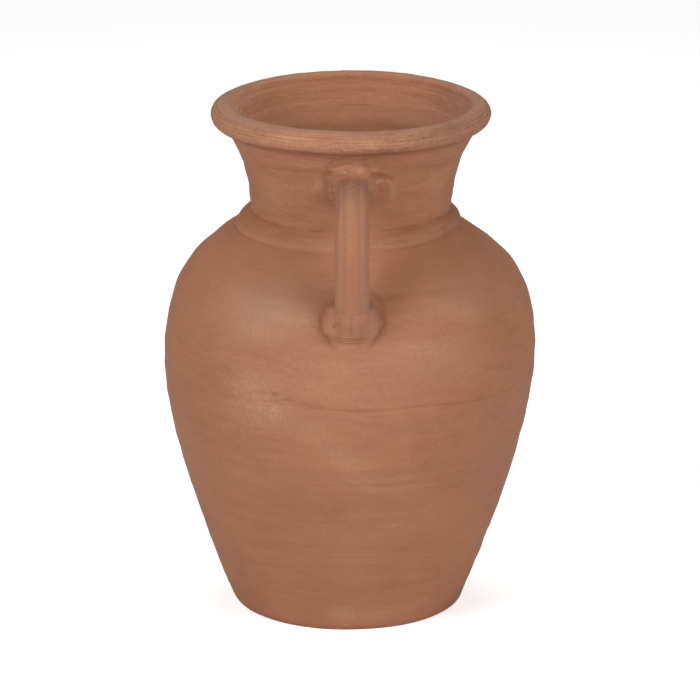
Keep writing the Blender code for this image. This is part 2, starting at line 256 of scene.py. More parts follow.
def straight(table):
    """Line entries from (azimuth from, to, height from, to, half width, depth, dark, pale)."""
    return [
        (start, end, path([(start, start_z), (end, end_z)]), *rest)
        for start, end, start_z, end_z, *rest in table
    ]


# The columns of each kind of mark, with azimuths and turns in degrees:
# lines: azimuth from, to, height path, half width, depth, dark, pale
# dents: azimuth, height, half width, half height, depth, dark, pale
# wash: azimuth, height, half width, half height, turn, pale
# tone_and_painted_light: azimuth, height, half width, half height, turn, tone, grey; mostly the
# clay's uneven tone, with one painted light band under the lip
BODY_MARKS = {
    "lines": [
        (-30, 44, seam_path, 0.75, 0.24, 0.42, 0.0),
        (-180, 180, seam_path, 0.9, 0.10, 0.10, 0.0),
        (-27, -9, path([(-27, 149.2), (-18, 150.6), (-9, 149.0)]), 0.8, 0.25, 0.55, 0.0),
        (-10, 22, path([(-10, 73.6), (5, 72.2), (22, 72.4)]), 0.45, 0.16, 0.0, 0.55),
    ] + straight([
        (-34, -17, 154.8, 153.6, 0.8, 0.22, 0.45, 0.0),
        (-19, -8, 172.1, 172.4, 0.5, 0.10, 0.0, 0.65),
        (17, 30, 181.8, 180.8, 0.5, 0.10, 0.0, 0.55),
        (16, 26, 178.6, 178.0, 0.4, 0.08, 0.0, 0.40),
        (-22, -2, 178.0, 177.4, 0.6, 0.10, 0.15, 0.25),
        (-60, -36, 186.0, 183.0, 0.7, 0.12, 0.25, 0.0),
        (-75, -50, 170.0, 165.5, 0.7, 0.12, 0.25, 0.0),
        (-8, 12, 20.8, 21.4, 0.45, 0.08, 0.0, 0.35),
        (95, 150, 120.0, 118.5, 0.6, 0.16, 0.3, 0.0),
        (-160, -110, 186.0, 187.0, 0.6, 0.14, 0.25, 0.1),
        (150, 180, 60.0, 61.0, 0.5, 0.12, 0.0, 0.4),
    ]),
    "dents": [
        (30.8, 107.7, 3.2, 2.4, 0.45, 0.0, 0.25), (31.3, 74.8, 4.0, 2.2, 0.35, 0.0, 0.30),
        (-23.1, 154.3, 2.2, 1.0, 0.55, 0.7, 0.0), (-19.0, 151.8, 3.0, 0.9, 0.40, 0.6, 0.0),
        (-12.0, 92.5, 1.4, 1.2, 0.30, 0.0, 0.3), (3.0, 118.0, 1.0, 0.9, 0.30, 0.3, 0.0),
        (-36.0, 129.0, 1.2, 0.8, 0.30, 0.3, 0.0), (52.0, 160.0, 1.5, 1.0, 0.30, 0.3, 0.0),
        (120.0, 96.0, 3.0, 2.0, 0.40, 0.1, 0.2), (-130.0, 132.0, 2.4, 1.6, 0.45, 0.3, 0.0),
        (165.0, 178.0, 1.6, 1.2, 0.35, 0.3, 0.0),
    ],
    "wash": [
        (-33, 152, 15, 11, 0, 0.92), (-26, 141, 12, 7, -20, 0.75), (2, 158, 26, 6, 0, 0.55),
        (-8, 128, 26, 6, -35, 0.40), (1, 108, 16, 4, -38, 0.38), (-24, 192, 26, 9, 8, 0.60),
        (-40, 204, 16, 8, 10, 0.30), (22, 176, 26, 10, 0, 0.30), (-2, 12, 13, 5, 0, 0.60),
        (20, 12.5, 16, 3.5, 6, 0.55), (35, 14, 9, 2.5, 8, 0.35), (38, 196, 22, 10, -10, 0.25),
        (-14, 172, 22, 5, 0, 0.45), (95, 160, 30, 14, 10, 0.45), (140, 120, 24, 10, -20, 0.40),
        (-150, 170, 30, 12, 5, 0.45), (-105, 110, 20, 9, 25, 0.35), (180, 70, 26, 8, 10, 0.35),
        (-90, 30, 22, 5, 0, 0.40), (120, 24, 24, 5, 5, 0.35),
    ],
    "tone_and_painted_light": [
        (-30, 200, 26, 14, 10, 0.05, 0.75), (45, 205, 26, 12, 0, 0.0, 0.35),
        (-52, 140, 22, 40, 0, -0.05, 0.0), (10, 12, 40, 7, 0, 0.06, 0.20),
        (0, 52, 30, 24, 0, 0.04, 0.05),
    ],
}
NECK_MARKS = {
    "lines": [
        (-62, -22, path([(-62, 271.2), (-25, 273.6), (-20, 274.0)]), 0.6, 0.28, 0.50, 0.0),
    ] + straight([
        (30, 72, 274.2, 271.0, 0.6, 0.28, 0.50, 0.0),
        (-20, -4, 256.5, 256.0, 0.5, 0.10, 0.2, 0.0),
        (-70, -30, 262.0, 263.5, 0.7, 0.10, 0.15, 0.1),
        (38, 66, 257.0, 256.0, 0.7, 0.10, 0.15, 0.1),
        (100, 180, 272.0, 273.0, 0.6, 0.22, 0.35, 0.0),
        (-180, -110, 273.0, 272.0, 0.6, 0.22, 0.35, 0.0),
    ]),
    "dents": [],
    "wash": [
        (-45, 256, 14, 8, 0, 0.25), (-20, 280, 16, 4, 0, 0.20), (55, 262, 14, 8, 0, 0.20),
        (120, 262, 20, 8, 0, 0.30), (-130, 268, 20, 8, 0, 0.30),
    ],
    # a darker band low on the neck, and a lighter band under the lip that is painted light, lifting
    # the shade there
    "tone_and_painted_light": [(0, 248, 70, 14, 0, -0.03, 0.0), (-8, 282.5, 66, 4.5, 0, 0.12, 0.0)],
}


def placed_marks(theta, z, tables, radius):
    """Relief in mm, dark, pale, grey and tone of the placed marks."""
    relief, dark, pale, grey, tone = np.zeros((5, *np.broadcast(theta, z).shape))
    broken = 0.55 + 0.45 * np.tanh(1.3 * dabs(theta, z * 0.15))
    # in lines and dents the dark column is painted shade in the cut or hollow
    for start, end, height, half, depth, darkness, paleness in tables["lines"]:
        off = z - height(theta)
        # a full ring has no ends to fade
        fade = 3.0 if end - start < 80 else 12.0
        present = 1.0 if end - start >= 359 else span(theta, start, end, fade)
        cut = bell(off, 0, half) * present
        burr = bell(off, -1.6 * half, 1.4 * half) * present
        relief += depth * (0.35 * burr - cut)
        dark = np.maximum(dark, darkness * cut * broken)
        pale = np.maximum(pale, paleness * cut * broken)
    for at, height, wide, tall, depth, darkness, paleness in tables["dents"]:
        hollow = spot(theta, z, at, height, wide, tall, 0, radius)
        relief -= depth * hollow
        dark = np.maximum(dark, darkness * hollow)
        pale = np.maximum(pale, paleness * hollow)
    for *ellipse, strength in tables["wash"]:
        pale = pale + strength * np.minimum(1.0, 1.3 * spot(theta, z, *ellipse, radius))
    for *ellipse, lighter, greyer in tables["tone_and_painted_light"]:
        shaded = spot(theta, z, *ellipse, radius)
        tone, grey = tone + lighter * shaded, grey + greyer * shaded
    return relief, dark, np.clip(pale, 0, 1), grey, tone


def wheel_marks(theta, z, sizes, ripple_shift, line_floor):
    """Throwing marks; sizes are the mm of the uneven round, ripple, ridges and fine lines."""
    uneven, rippled, ridged, lined = sizes
    return (
        uneven * unround(theta, z)
        + rippled * ripple(theta, z + ripple_shift)
        + ridged * ridges(theta, z) * (0.4 + patchy(patches, theta, z))
        + lined * lines(theta, z) * (line_floor + patchy(patches2, theta, z))
    )


def worn_pale(pale, theta, z):
    return np.clip(pale * (0.75 + 0.35 * np.tanh(patches2(theta, z))), 0, 1)


LOWER_WAD_X, LOWER_WAD_Z = 0.3, 196.5


def lower_outline(angle):
    """Half size of the handle's lower wad along the wall."""
    cosine, sine = np.cos(angle), np.sin(angle)
    wide = 17.2 + 0.35 * np.cos(2 * angle + 0.4) + 0.30 * np.cos(5 * angle)
    wide = wide + 0.2 * np.cos(9 * angle + 1)
    tall = np.where(sine > 0, 15.4, 20.3 + 0.8 * cosine)
    return superellipse(cosine / wide, sine / tall, 1.82 + 0.2 * sine)


# bands where the pot's two sides stand out or in: (height, half height, mm)
LEFT_BANDS = [(222.5, 6.5, 0.9), (209.0, 5.0, 0.55), (197.0, 7.0, 0.35)]
RIGHT_BANDS = [(203.0, 4.5, 0.40), (181.0, 6.5, 0.60), (218.5, 4.0, -0.45)]
# (x, z) along the crease that curves over the shoulder right of the handle, and a pale dab above
SHOULDER_CREASE = [(10.8, 211.6), (15.6, 208.2), (18.6, 204.6), (19.4, 200.0), (19.0, 195.0)]
SHOULDER_DAB = [(12.6, 214.5), (14.6, 219.0)]


def body_relief(theta, z):
    relief, dark, pale, grey, tone = placed_marks(theta, z, BODY_MARKS, 100.0)
    ends = smooth(0, 14, z) * (1 - smooth(224, 230, z))
    relief = relief + ends * wheel_marks(theta, z, (0.12, 0.085, 0.035, 0.018), 0, 0.3)
    # the clay dips a little round the handle's foot
    relief = relief - 0.5 * spot(theta, z, 0.5, 196, 24, 20)
    relief = relief + bell(theta, -1.55, 0.7) * bells(z, LEFT_BANDS)
    relief = relief + bell(theta, 1.55, 0.6) * bells(z, RIGHT_BANDS)
    # the shoulder is a little fuller on the right
    fuller = smooth(176, 206, z) * (1 - smooth(219, 229, z))
    relief = relief + 0.95 * bell(theta, 1.55, 0.75) * fuller
    # painted shade in the crease under the collar
    dark = np.maximum(dark, 0.34 * bell(z - collar_foot_path(theta), -0.6, 0.8))
    # a crease runs round the handle's lower wad, and another curves over the shoulder; both get
    # painted shade
    x = body_r(z) * np.sin(theta) + lean_x(z)
    handle_side = np.cos(theta) > 0.3
    dx, dz = x - LOWER_WAD_X, (z - LOWER_WAD_Z) / body_r.climb(LOWER_WAD_Z)
    from_wad = np.hypot(dx, dz) / lower_outline(np.arctan2(dz, dx))
    ring = bell(from_wad, 1.035, 0.075) * handle_side
    ring = ring * (1 - smooth(196, 207, z)) * smooth(178, 188, z)
    relief = relief - 0.26 * ring
    dark = np.maximum(dark, 0.72 * ring * (0.75 + 0.25 * np.tanh(dabs(theta, z))))
    over = stroke(x, z, SHOULDER_CREASE, 0.85) * handle_side
    relief = relief - 0.30 * over
    dark = np.maximum(dark, 0.55 * over)
    pale = np.maximum(pale, 0.5 * stroke(x, z, SHOULDER_DAB, 1.6) * handle_side)
    return relief, dark, worn_pale(pale, theta, z), grey, tone


def neck_relief(theta, z):
    relief, dark, pale, grey, tone = placed_marks(theta, z, NECK_MARKS, 62.0)
    relief = relief + wheel_marks(theta, z, (0.10, 0.10, 0.04, 0.02), 40, 0.4)
    # painted shade: a broken dark line in the crease above the collar, and a soft band under the
    # lip, where its shadow falls
    broken = 0.55 + 0.45 * np.tanh(1.5 * dabs(theta, z * 0.1))
    dark = np.maximum(dark, 0.75 * bell(z - collar_top_path(theta), 0.4, 0.6) * broken)
    dark = np.maximum(dark, 0.25 * bell(z, 287.6, 1.6))
    return relief, dark, worn_pale(pale, theta, z), grey, tone


BODY_WALL = (body_r, body_relief)
NECK_WALL = (neck_r, neck_relief)


def place(theta, radius, z):
    """Metres, from azimuth, radius and height in mm, with the pot's drift off plumb."""
    theta, radius, z = np.broadcast_arrays(theta, radius, z)
    return np.stack([radius * np.sin(theta) + lean_x(z), -radius * np.cos(theta), z], -1) * MM


def off_wall(curve, z, distance):
    """Radius and height of points moved out along the curve's normal."""
    slope = curve.slope(z)
    length = np.sqrt(1 + slope**2)
    return curve(z) + distance / length, z - distance * slope / length


def surface(wall, theta, z, rise=0.0):
    """Points on a wall, with its relief and rise, and their four marks."""
    curve, relief_of = wall
    relief, *marks = relief_of(theta, z)
    return place(theta, *off_wall(curve, z, relief + rise)), *marks


def wall_out(curve, x, z):
    """How far towards -Y a wall stands at x."""
    return np.sqrt(np.maximum(curve(z) ** 2 - (x - lean_x(z)) ** 2, 1.0))


# ------------------------------------------------------------------ section lines
def distances(line):
    """Distance along a line to each of its points, from their first two columns."""
    return np.concatenate([[0], np.cumsum(np.hypot(*np.diff(line[:, :2], axis=0).T))])


def resample(line, at):
    """The line's columns at these distances along it."""
    along = distances(line)
    return np.stack([np.interp(at, along, column) for column in line.T], 1)


def tangents(line):
    step = np.gradient(line[:, :2], axis=0)
    return step / np.linalg.norm(step, axis=1)[:, None]


def wall_heights(curve, low, high, pitch):
    """Heights low..high spaced evenly along the curve's length."""
    z = np.linspace(low, high, 400)
    line = np.stack([z, curve(z)], 1)
    length = distances(line)[-1]
    count = max(2, int(round(length / pitch)) + 1)
    return resample(line, np.linspace(0, length, count))[:, :1]


# ------------------------------------------------------------------ meshes
SHARP_ANGLE = 50.0
MARKS = ("dark", "pale", "grey", "tone")


def finish_mesh(name, points, quads, tris, marks):
    """Object from numpy arrays, with its marks as point attributes."""
    mesh = bpy.data.meshes.new(name)
    mesh.vertices.add(len(points))
    mesh.vertices.foreach_set("co", np.asarray(points, np.float32).ravel())
    loops = np.concatenate([quads.ravel(), tris.ravel()]).astype(np.int32)
    mesh.loops.add(len(loops))
    mesh.loops.foreach_set("vertex_index", loops)
    starts = np.concatenate([np.arange(len(quads)) * 4, len(quads) * 4 + np.arange(len(tris)) * 3])
    mesh.polygons.add(len(starts))
    mesh.polygons.foreach_set("loop_start", starts.astype(np.int32))
    mesh.update(calc_edges=True)
    mesh.validate()
    for key, values in marks.items():
        attribute = mesh.attributes.new(key, "FLOAT", "POINT")
        attribute.data.foreach_set("value", np.asarray(values, np.float32))
    mesh.shade_smooth()
    mesh.set_sharp_from_angle(angle=math.radians(SHARP_ANGLE))
    obj = bpy.data.objects.new(name, mesh)
    bpy.context.scene.collection.objects.link(obj)
    return obj


def volume(points, faces):
    """Six times the signed volume under the faces."""
    first = points[faces[:, 0]]
    total = 0.0
    for k in range(1, faces.shape[1] - 1):
        total += (first * np.cross(points[faces[:, k]], points[faces[:, k + 1]])).sum()
    return total


class Rows:
    """Rings of points that are stacked into one turned piece."""

    def __init__(self):
        self.points = []
        self.marks = {key: [] for key in MARKS}

    def add(self, points, dark=0.0, pale=0.0, grey=0.0, tone=0.0):
        self.points.append(points)
        for key, value in zip(MARKS, (dark, pale, grey, tone)):
            self.marks[key].append(np.broadcast_to(value, points.shape[:2]))

    def build(self, name, capped=False):
        """The last ring joins the first, or both are capped with a fan round a pole."""
        points = np.concatenate(self.points)
        marks = {key: np.concatenate(values) for key, values in self.marks.items()}
        rings, around = points.shape[:2]
        index = np.arange(rings * around).reshape(rings, around)
        this = index[:-1] if capped else index
        following = index[1:] if capped else np.roll(index, -1, 0)
        corners = [this, np.roll(this, -1, 1), np.roll(following, -1, 1), following]
        quads = np.stack(corners, -1).reshape(-1, 4)
        tris = np.zeros((0, 3), int)
        flat = points.reshape(-1, 3)
        if capped:
            flat = np.concatenate([flat, [points[0].mean(0), points[-1].mean(0)]])
            pole = np.full(around, rings * around)
            tris = np.concatenate([
                np.stack([pole, np.roll(index[0], -1), index[0]], -1),
                np.stack([pole + 1, index[-1], np.roll(index[-1], -1)], -1),
            ])
            marks = {
                key: np.concatenate([value.ravel(), [value[0].mean(), value[-1].mean()]])
                for key, value in marks.items()
            }
        # faces point outwards when the signed volume is positive
        if volume(flat, quads) + volume(flat, tris) < 0:
            quads, tris = quads[:, ::-1], tris[:, ::-1]
        marks = {key: value.ravel() for key, value in marks.items()}
        return finish_mesh(name, flat, quads, tris, marks)


THETA = (np.arange(SEGMENTS) / SEGMENTS * 2 - 1)[None, :] * math.pi
seam_shift = seam_path(THETA) - SEAM_Z


def near_seam(z):
    """Heights near the belly joint follow its line."""
    return z + seam_shift * np.maximum(0.0, 1 - np.abs(z - SEAM_Z) / 30.0) ** 2


def scarf(inner, outer, low, high, bulge_outside):
    """Slanted joint face between two rings, at shares low..high, with a slight upward bulge."""
    share = np.linspace(low, high, 6)[:, None, None]
    side = share if bulge_outside else 1 - share
    bulge = np.array([0, 0, 1.6 * MM]) * np.sin(math.pi * share) * side
    return inner * (1 - share) + outer * share + bulge


def inner_relief(z):
    return 0.35 * inner_rings(THETA, z), 0.25 * unround(THETA, z)


# ------------------------------------------------------------------ lower bowl
def build_lower_bowl():
    rows = Rows()
    # floor, with the spiral that the thrower's finger leaves
    radius = np.linspace(1.6, 55.0, 24)[:, None]
    swirl = np.cos(math.tau * radius / 10.5 - THETA)
    swirl = swirl * smooth(0, 12, radius) * (1 - smooth(46, 56, radius))
    middle_dip = 0.8 * (1 - smooth(0, 16, radius))
    rows.add(place(THETA, radius, FLOOR + 0.55 * swirl - middle_dip))
    # knee from the floor into the wall
    floor_r = 55.6
    wall_r, wall_z = off_wall(body_r, 24.0, -WALL)
    angle = np.linspace(0.08, 0.95, 12)[:, None] * math.pi / 2
    knee_r = floor_r + (wall_r - floor_r) * np.sin(angle) ** 0.9
    rows.add(place(THETA, knee_r, FLOOR + (wall_z - FLOOR) * (1 - np.cos(angle))))
    # inside of the wall
    z = wall_heights(body_r, 25.0, SEAM_Z + 1.0, 3.2)
    inside_r, inside_z = off_wall(body_r, z, -WALL)
    rings, uneven = inner_relief(inside_z)
    inside_r = inside_r + (rings * smooth(24, 40, z) + uneven)
    rows.add(place(THETA, inside_r, inside_z + seam_shift * smooth(SEAM_Z - 40, SEAM_Z, z)))
    # joint, then the outside from the joint down
    top = surface(BODY_WALL, THETA, near_seam(np.array([[SEAM_Z]])) - GAP / 2)[0]
    rows.add(scarf(rows.points[-1][-1], top, 0.15, 0.95, bulge_outside=False))
    z = near_seam(wall_heights(body_r, FOOT_EDGE, SEAM_Z, 1.12 * PITCH)[::-1])
    rows.add(*surface(BODY_WALL, THETA, z - GAP / 2 * smooth(SEAM_Z - 3, SEAM_Z, z)))
    # rounded foot edge, a little worn and uneven
    angle = np.linspace(0.94, 0.0, 13)[:, None] * math.pi / 2
    worn = 0.35 * np.cos(3 * THETA + 1) + 0.25 * np.cos(7 * THETA + 2.2)
    worn = worn + 1.1 * span(THETA, 20, 90, 15)
    foot_z = FOOT_EDGE * (1 - np.cos(angle))
    rounding = FOOT_WALL_R - FOOT_R - FOOT_FLARE * FOOT_EDGE
    foot_r = FOOT_R + rounding * np.sin(angle) + FOOT_FLARE * foot_z
    foot_r = foot_r + 0.5 * worn * np.cos(angle)
    _, _, pale, _, tone = body_relief(THETA, foot_z)
    # painted shade darkens the rounded edge as it turns under towards the floor
    rows.add(place(THETA, foot_r, foot_z), dark=0.25 * np.cos(angle), pale=pale, tone=tone)
    # underside: a flat resting ring, and a shallow hollow with the arcs of the cutting wire
    radius = np.concatenate([np.linspace(64.8, 54.0, 6), np.linspace(52.8, 1.6, 26)])[:, None]
    x, y = radius * np.sin(THETA), -radius * np.cos(THETA)
    wire = np.cos(math.tau * np.hypot(x + 70, y + 20) / 6.5) * 0.09
    hollow = 0.7 + wire + 0.12 * np.cos(math.tau * radius / 21)
    rows.add(place(THETA, radius, hollow * (1 - smooth(46, 54, radius))),
             dark=0.12 * (1 - smooth(40, 54, radius)), pale=0.5 * smooth(50, 60, radius))
    return rows.build("lower_bowl_fired", capped=True)


# ------------------------------------------------------------------ upper shell
def build_upper_shell():
    rows = Rows()
    outside_top = LAND_Z - 0.55
    z = near_seam(wall_heights(body_r, SEAM_Z, outside_top, PITCH))
    rows.add(*surface(BODY_WALL, THETA, z + GAP / 2 * (1 - smooth(SEAM_Z, SEAM_Z + 3, z))))
    # the flat land, and the mouth's edge
    mouth = neck_in(LAND_Z)
    for radius, drop in ((body_r(outside_top) - 0.3, 0.0), (mouth + 4.0, 0.0), (mouth + 0.4, 0.0),
                         (mouth, 0.4), (mouth, 2.0), (mouth + 0.5, 3.4)):
        rows.add(place(THETA, radius, LAND_Z - drop))
    # inside of the wall, downwards
    z = wall_heights(body_r, SEAM_Z + 1.0, 224.5, 1.5)[::-1]
    inside_r, inside_z = off_wall(body_r, z, -WALL)
    rings, uneven = inner_relief(inside_z)
    inside_r = inside_r + (rings + uneven) * (1 - smooth(212, 226, z))
    lift = seam_shift * (1 - smooth(SEAM_Z, SEAM_Z + 40, z)) + 2 * GAP
    rows.add(place(THETA, inside_r, inside_z + lift))
    rows.add(scarf(rows.points[-1][-1], rows.points[0][0], 0.05, 0.85, bulge_outside=True))
    return rows.build("upper_shell_fired")


# ------------------------------------------------------------------ neck
TONGUE_Z = 287.0                               # top of the neck's outside
TONGUE_INSIDE_Z = TONGUE_Z + 0.9
TONGUE_RISE = 2.6
TONGUE_SHARES = (0.06, 0.25, 0.5, 0.75, 0.94)
MOUTH_SIDE_PAINTED_LIGHT = 0.34
MOUTH_SIDE_GREY = 0.42


def inside_relief(theta, z):
    """Wheel rings on the inside of the neck, about a finger's width apart."""
    rings = np.cos(math.tau * (z - 282.6) / 9.8 + 0.25 * np.cos(theta + 0.8))
    fade = smooth(LAND_Z, LAND_Z + 8, z) * (1 - smooth(288, 297, z) * 0.5)
    return (0.26 * rings + 0.08 * ripple(theta, z + 90) + 0.03 * ridges(theta, z)) * fade


def mouth_painted_light_and_shade(theta, z):
    """Painted light and shade inside the mouth: its sides are painted lighter than its back, and
    down in the neck the back is painted darker, where shade falls.
    """
    side, back = np.sin(theta), smooth(0.1, 0.8, -np.cos(theta))
    deep = (1 - smooth(270.0, 281.0, z)) * back * (0.19 + 0.12 * side)
    return MOUTH_SIDE_PAINTED_LIGHT * side**2 * (0.73 - 0.55 * side) - deep


def tongue(share, lift):
    """Radius and height of the neck's rounded top edge, from its outside at 0 to its inside at 1."""
    outside, inside = neck_r(TONGUE_Z), neck_in(TONGUE_INSIDE_Z)
    level = TONGUE_Z + (TONGUE_INSIDE_Z - TONGUE_Z) * share
    rise = TONGUE_RISE * math.sin(math.pi * share) ** 0.7
    return outside + (inside - outside) * share, level + rise + lift


def build_neck():
    rows = Rows()
    rows.add(*surface(NECK_WALL, THETA, wall_heights(neck_r, LAND_Z + GAP, TONGUE_Z, PITCH)))
    for share in TONGUE_SHARES:
        rows.add(place(THETA, *tongue(share, 0.0)))
    z = wall_heights(neck_in, LAND_Z + 1.0, TONGUE_INSIDE_Z, 0.8)[::-1]
    rows.add(place(THETA, neck_in(z) - inside_relief(THETA, z), z),
             dark=0.16 * patchy(patches2, THETA, z * 1.1),
             pale=0.15 * patchy(patches, THETA, z * 1.2),
             grey=MOUTH_SIDE_GREY * np.sin(THETA) ** 2, tone=mouth_painted_light_and_shade(THETA, z))
    rows.add(place(THETA, neck_in(LAND_Z), LAND_Z + GAP))
    return rows.build("neck_fired")


# ------------------------------------------------------------------ collar coil
def collar_wall(share, z):
    """Radius of the neck and shoulder under the coil, with their crossing eased."""
    shoulder = body_r(np.minimum(z, 232.0)) + 1.34 * np.minimum(232.0 - z, 0)
    wall = larger(neck_r(np.maximum(z, 228.0)), shoulder, 0.4)
    relief = np.where(z > 232.5, neck_relief(THETA, np.maximum(z, 232.5))[0],
                      body_relief(THETA, np.minimum(z, 229.0))[0])
    return wall + relief * smooth(0.25, 0.9, np.abs(share - 0.5) * 2)


def build_collar():
    """A small coil pressed over the neck joint; slip feathers it into the neck and the shoulder."""
    top, foot = collar_top_path(THETA), collar_foot_path(THETA)
    # 0 at the coil's top and 1 at its foot; the slip runs on past both
    share = np.linspace(-0.20, 1.34, 64)[:, None]
    z = top + (foot - top) * share
    inside = np.clip(share, 0, 1)
    arch = np.sin(math.pi * inside)
    uneven = 1 + 0.10 * np.cos(2 * THETA + 0.6) + 0.06 * np.cos(5 * THETA)
    uneven = uneven + 0.30 * span(THETA, 60, 130, 20)
    top_r, foot_r = neck_r(top) + 0.25, body_r(foot) + 0.25
    coil = top_r + (foot_r - top_r) * inside**1.12 + 2.0 * arch**0.85 * uneven
    coil = coil - 16.0 * np.maximum(-share, 0) - 16.0 * np.maximum(share - 1, 0)
    wall = collar_wall(share, z)
    texture = 0.05 * ridges(THETA, z) + 0.03 * lines(THETA, z) + 0.06 * dabs(THETA, z)
    torn = spot(THETA, z, 33, 236.6, 13, 1.5, turn=3, radius=60)
    skin = larger(coil + texture * arch - 0.4 * torn, wall, 0.75)
    thin = np.minimum(smooth(-0.20, -0.08, share), 1 - smooth(1.22, 1.34, share))
    # painted shade in the creases at the top, part way down and at the foot, and in the tear
    below_top, below_foot = z - top, z - foot
    broken = 0.6 + 0.4 * np.tanh(1.4 * dabs(THETA, z * 0.08))
    dark = 0.14 * bell(below_top, 0.6, 2.2) + 0.70 * bell(below_top, 0.15, 0.5) * broken
    dark = dark + 0.32 * bell(below_top, -2.3, 0.5) * broken * span(THETA, -38, 6, 6)
    dark = dark + 0.22 * bell(below_foot, -1.2, 0.7) * broken + 0.55 * torn
    # painted highlight along the lower part of the coil
    pale = 0.34 * bell(inside, 0.86, 0.12) * (0.6 + 0.4 * patchy(patches2, THETA, z))
    pale = pale + 0.30 * bell(below_foot, 0.6, 0.5) * span(THETA, -6, 34, 8)
    pale = pale + 0.22 * spot(THETA, z, -18, 233, 18, 2.4, radius=62)
    rows = Rows()
    rows.add(place(THETA, wall + 0.03 + (skin - wall) * thin, z), dark=np.clip(dark, 0, 1),
             pale=np.clip(pale, 0, 1) * (share < 1.1), tone=-0.05 * arch)
    # back of the coil, on the shoulder and the neck
    rows.add(place(THETA, wall[::-9] - 0.02, z[::-9]))
    return rows.build("neck_collar_fired")


# ------------------------------------------------------------------ rolled lip
ROLL = 6.0                                     # radius of the roll's section
ROLL_R = LIP_OUT_R - ROLL
ROLL_Z = HEIGHT - 6.5
CORNER = 4.0                                   # radius of the inner corner's section
CORNER_R = ROLL_R - 3.0
CORNER_Z = HEIGHT - CORNER


def softened(points, spread):
    """Even spacing along a section line, then its corners eased over this length."""
    step = 0.08
    points = np.array(points, float)
    line = resample(points, np.arange(0, distances(points)[-1], step))
    reach = int(3 * spread / step)
    kernel = np.exp(-0.5 * (np.arange(-reach, reach + 1) * step / spread) ** 2)
    kernel /= kernel.sum()
    before = line[0] - (line[1] - line[0]) * np.arange(reach, 0, -1)[:, None]
    after = line[-1] + (line[-1] - line[-2]) * np.arange(1, reach + 1)[:, None]
    padded = np.concatenate([before, line, after])
    return np.stack([np.convolve(column, kernel, "valid") for column in padded.T], 1)


def section_arc(centre_r, centre_z, radius, start, end, count):
    angles = np.radians(np.linspace(start, end, count))
    return [(centre_r + radius * math.cos(a), centre_z + radius * math.sin(a)) for a in angles]


def lip_section():
    """The lip from the neck's outside, round the roll and the top, to the neck's inside."""
    points = [(neck_r(z) + 0.04 + 0.03 * (z - 285.0), z) for z in np.linspace(285.0, 287.0, 8)]
    points += section_arc(ROLL_R, ROLL_Z, ROLL, -72, 88, 70)
    points += section_arc(CORNER_R, CORNER_Z, CORNER, 90, 176, 30)
    for z in np.linspace(CORNER_Z - 0.6, 281.5, 60):
        points.append((neck_in(z) - 0.04 - 0.20 * smooth(281.5, 290, z), z))
    line = softened(points, 0.6)
    along = np.linspace(0, distances(line)[-1], 176)
    line = resample(line, along)
    tangent = tangents(line)
    return along, line, np.stack([tangent[:, 1], -tangent[:, 0]], 1)


# not quite round: (azimuth in radians, half width, mm outwards)
LIP_ROUND = [(-1.19, 0.30, 0.7), (2.07, 0.33, -1.2), (-2.07, 0.33, -0.5)]
# rise and fall of the rim at either side of the back: (unsigned azimuth, half width, mm)
LIP_LEVEL = [(2.25, 0.42, -0.38), (3.14, 0.35, 0.25)]


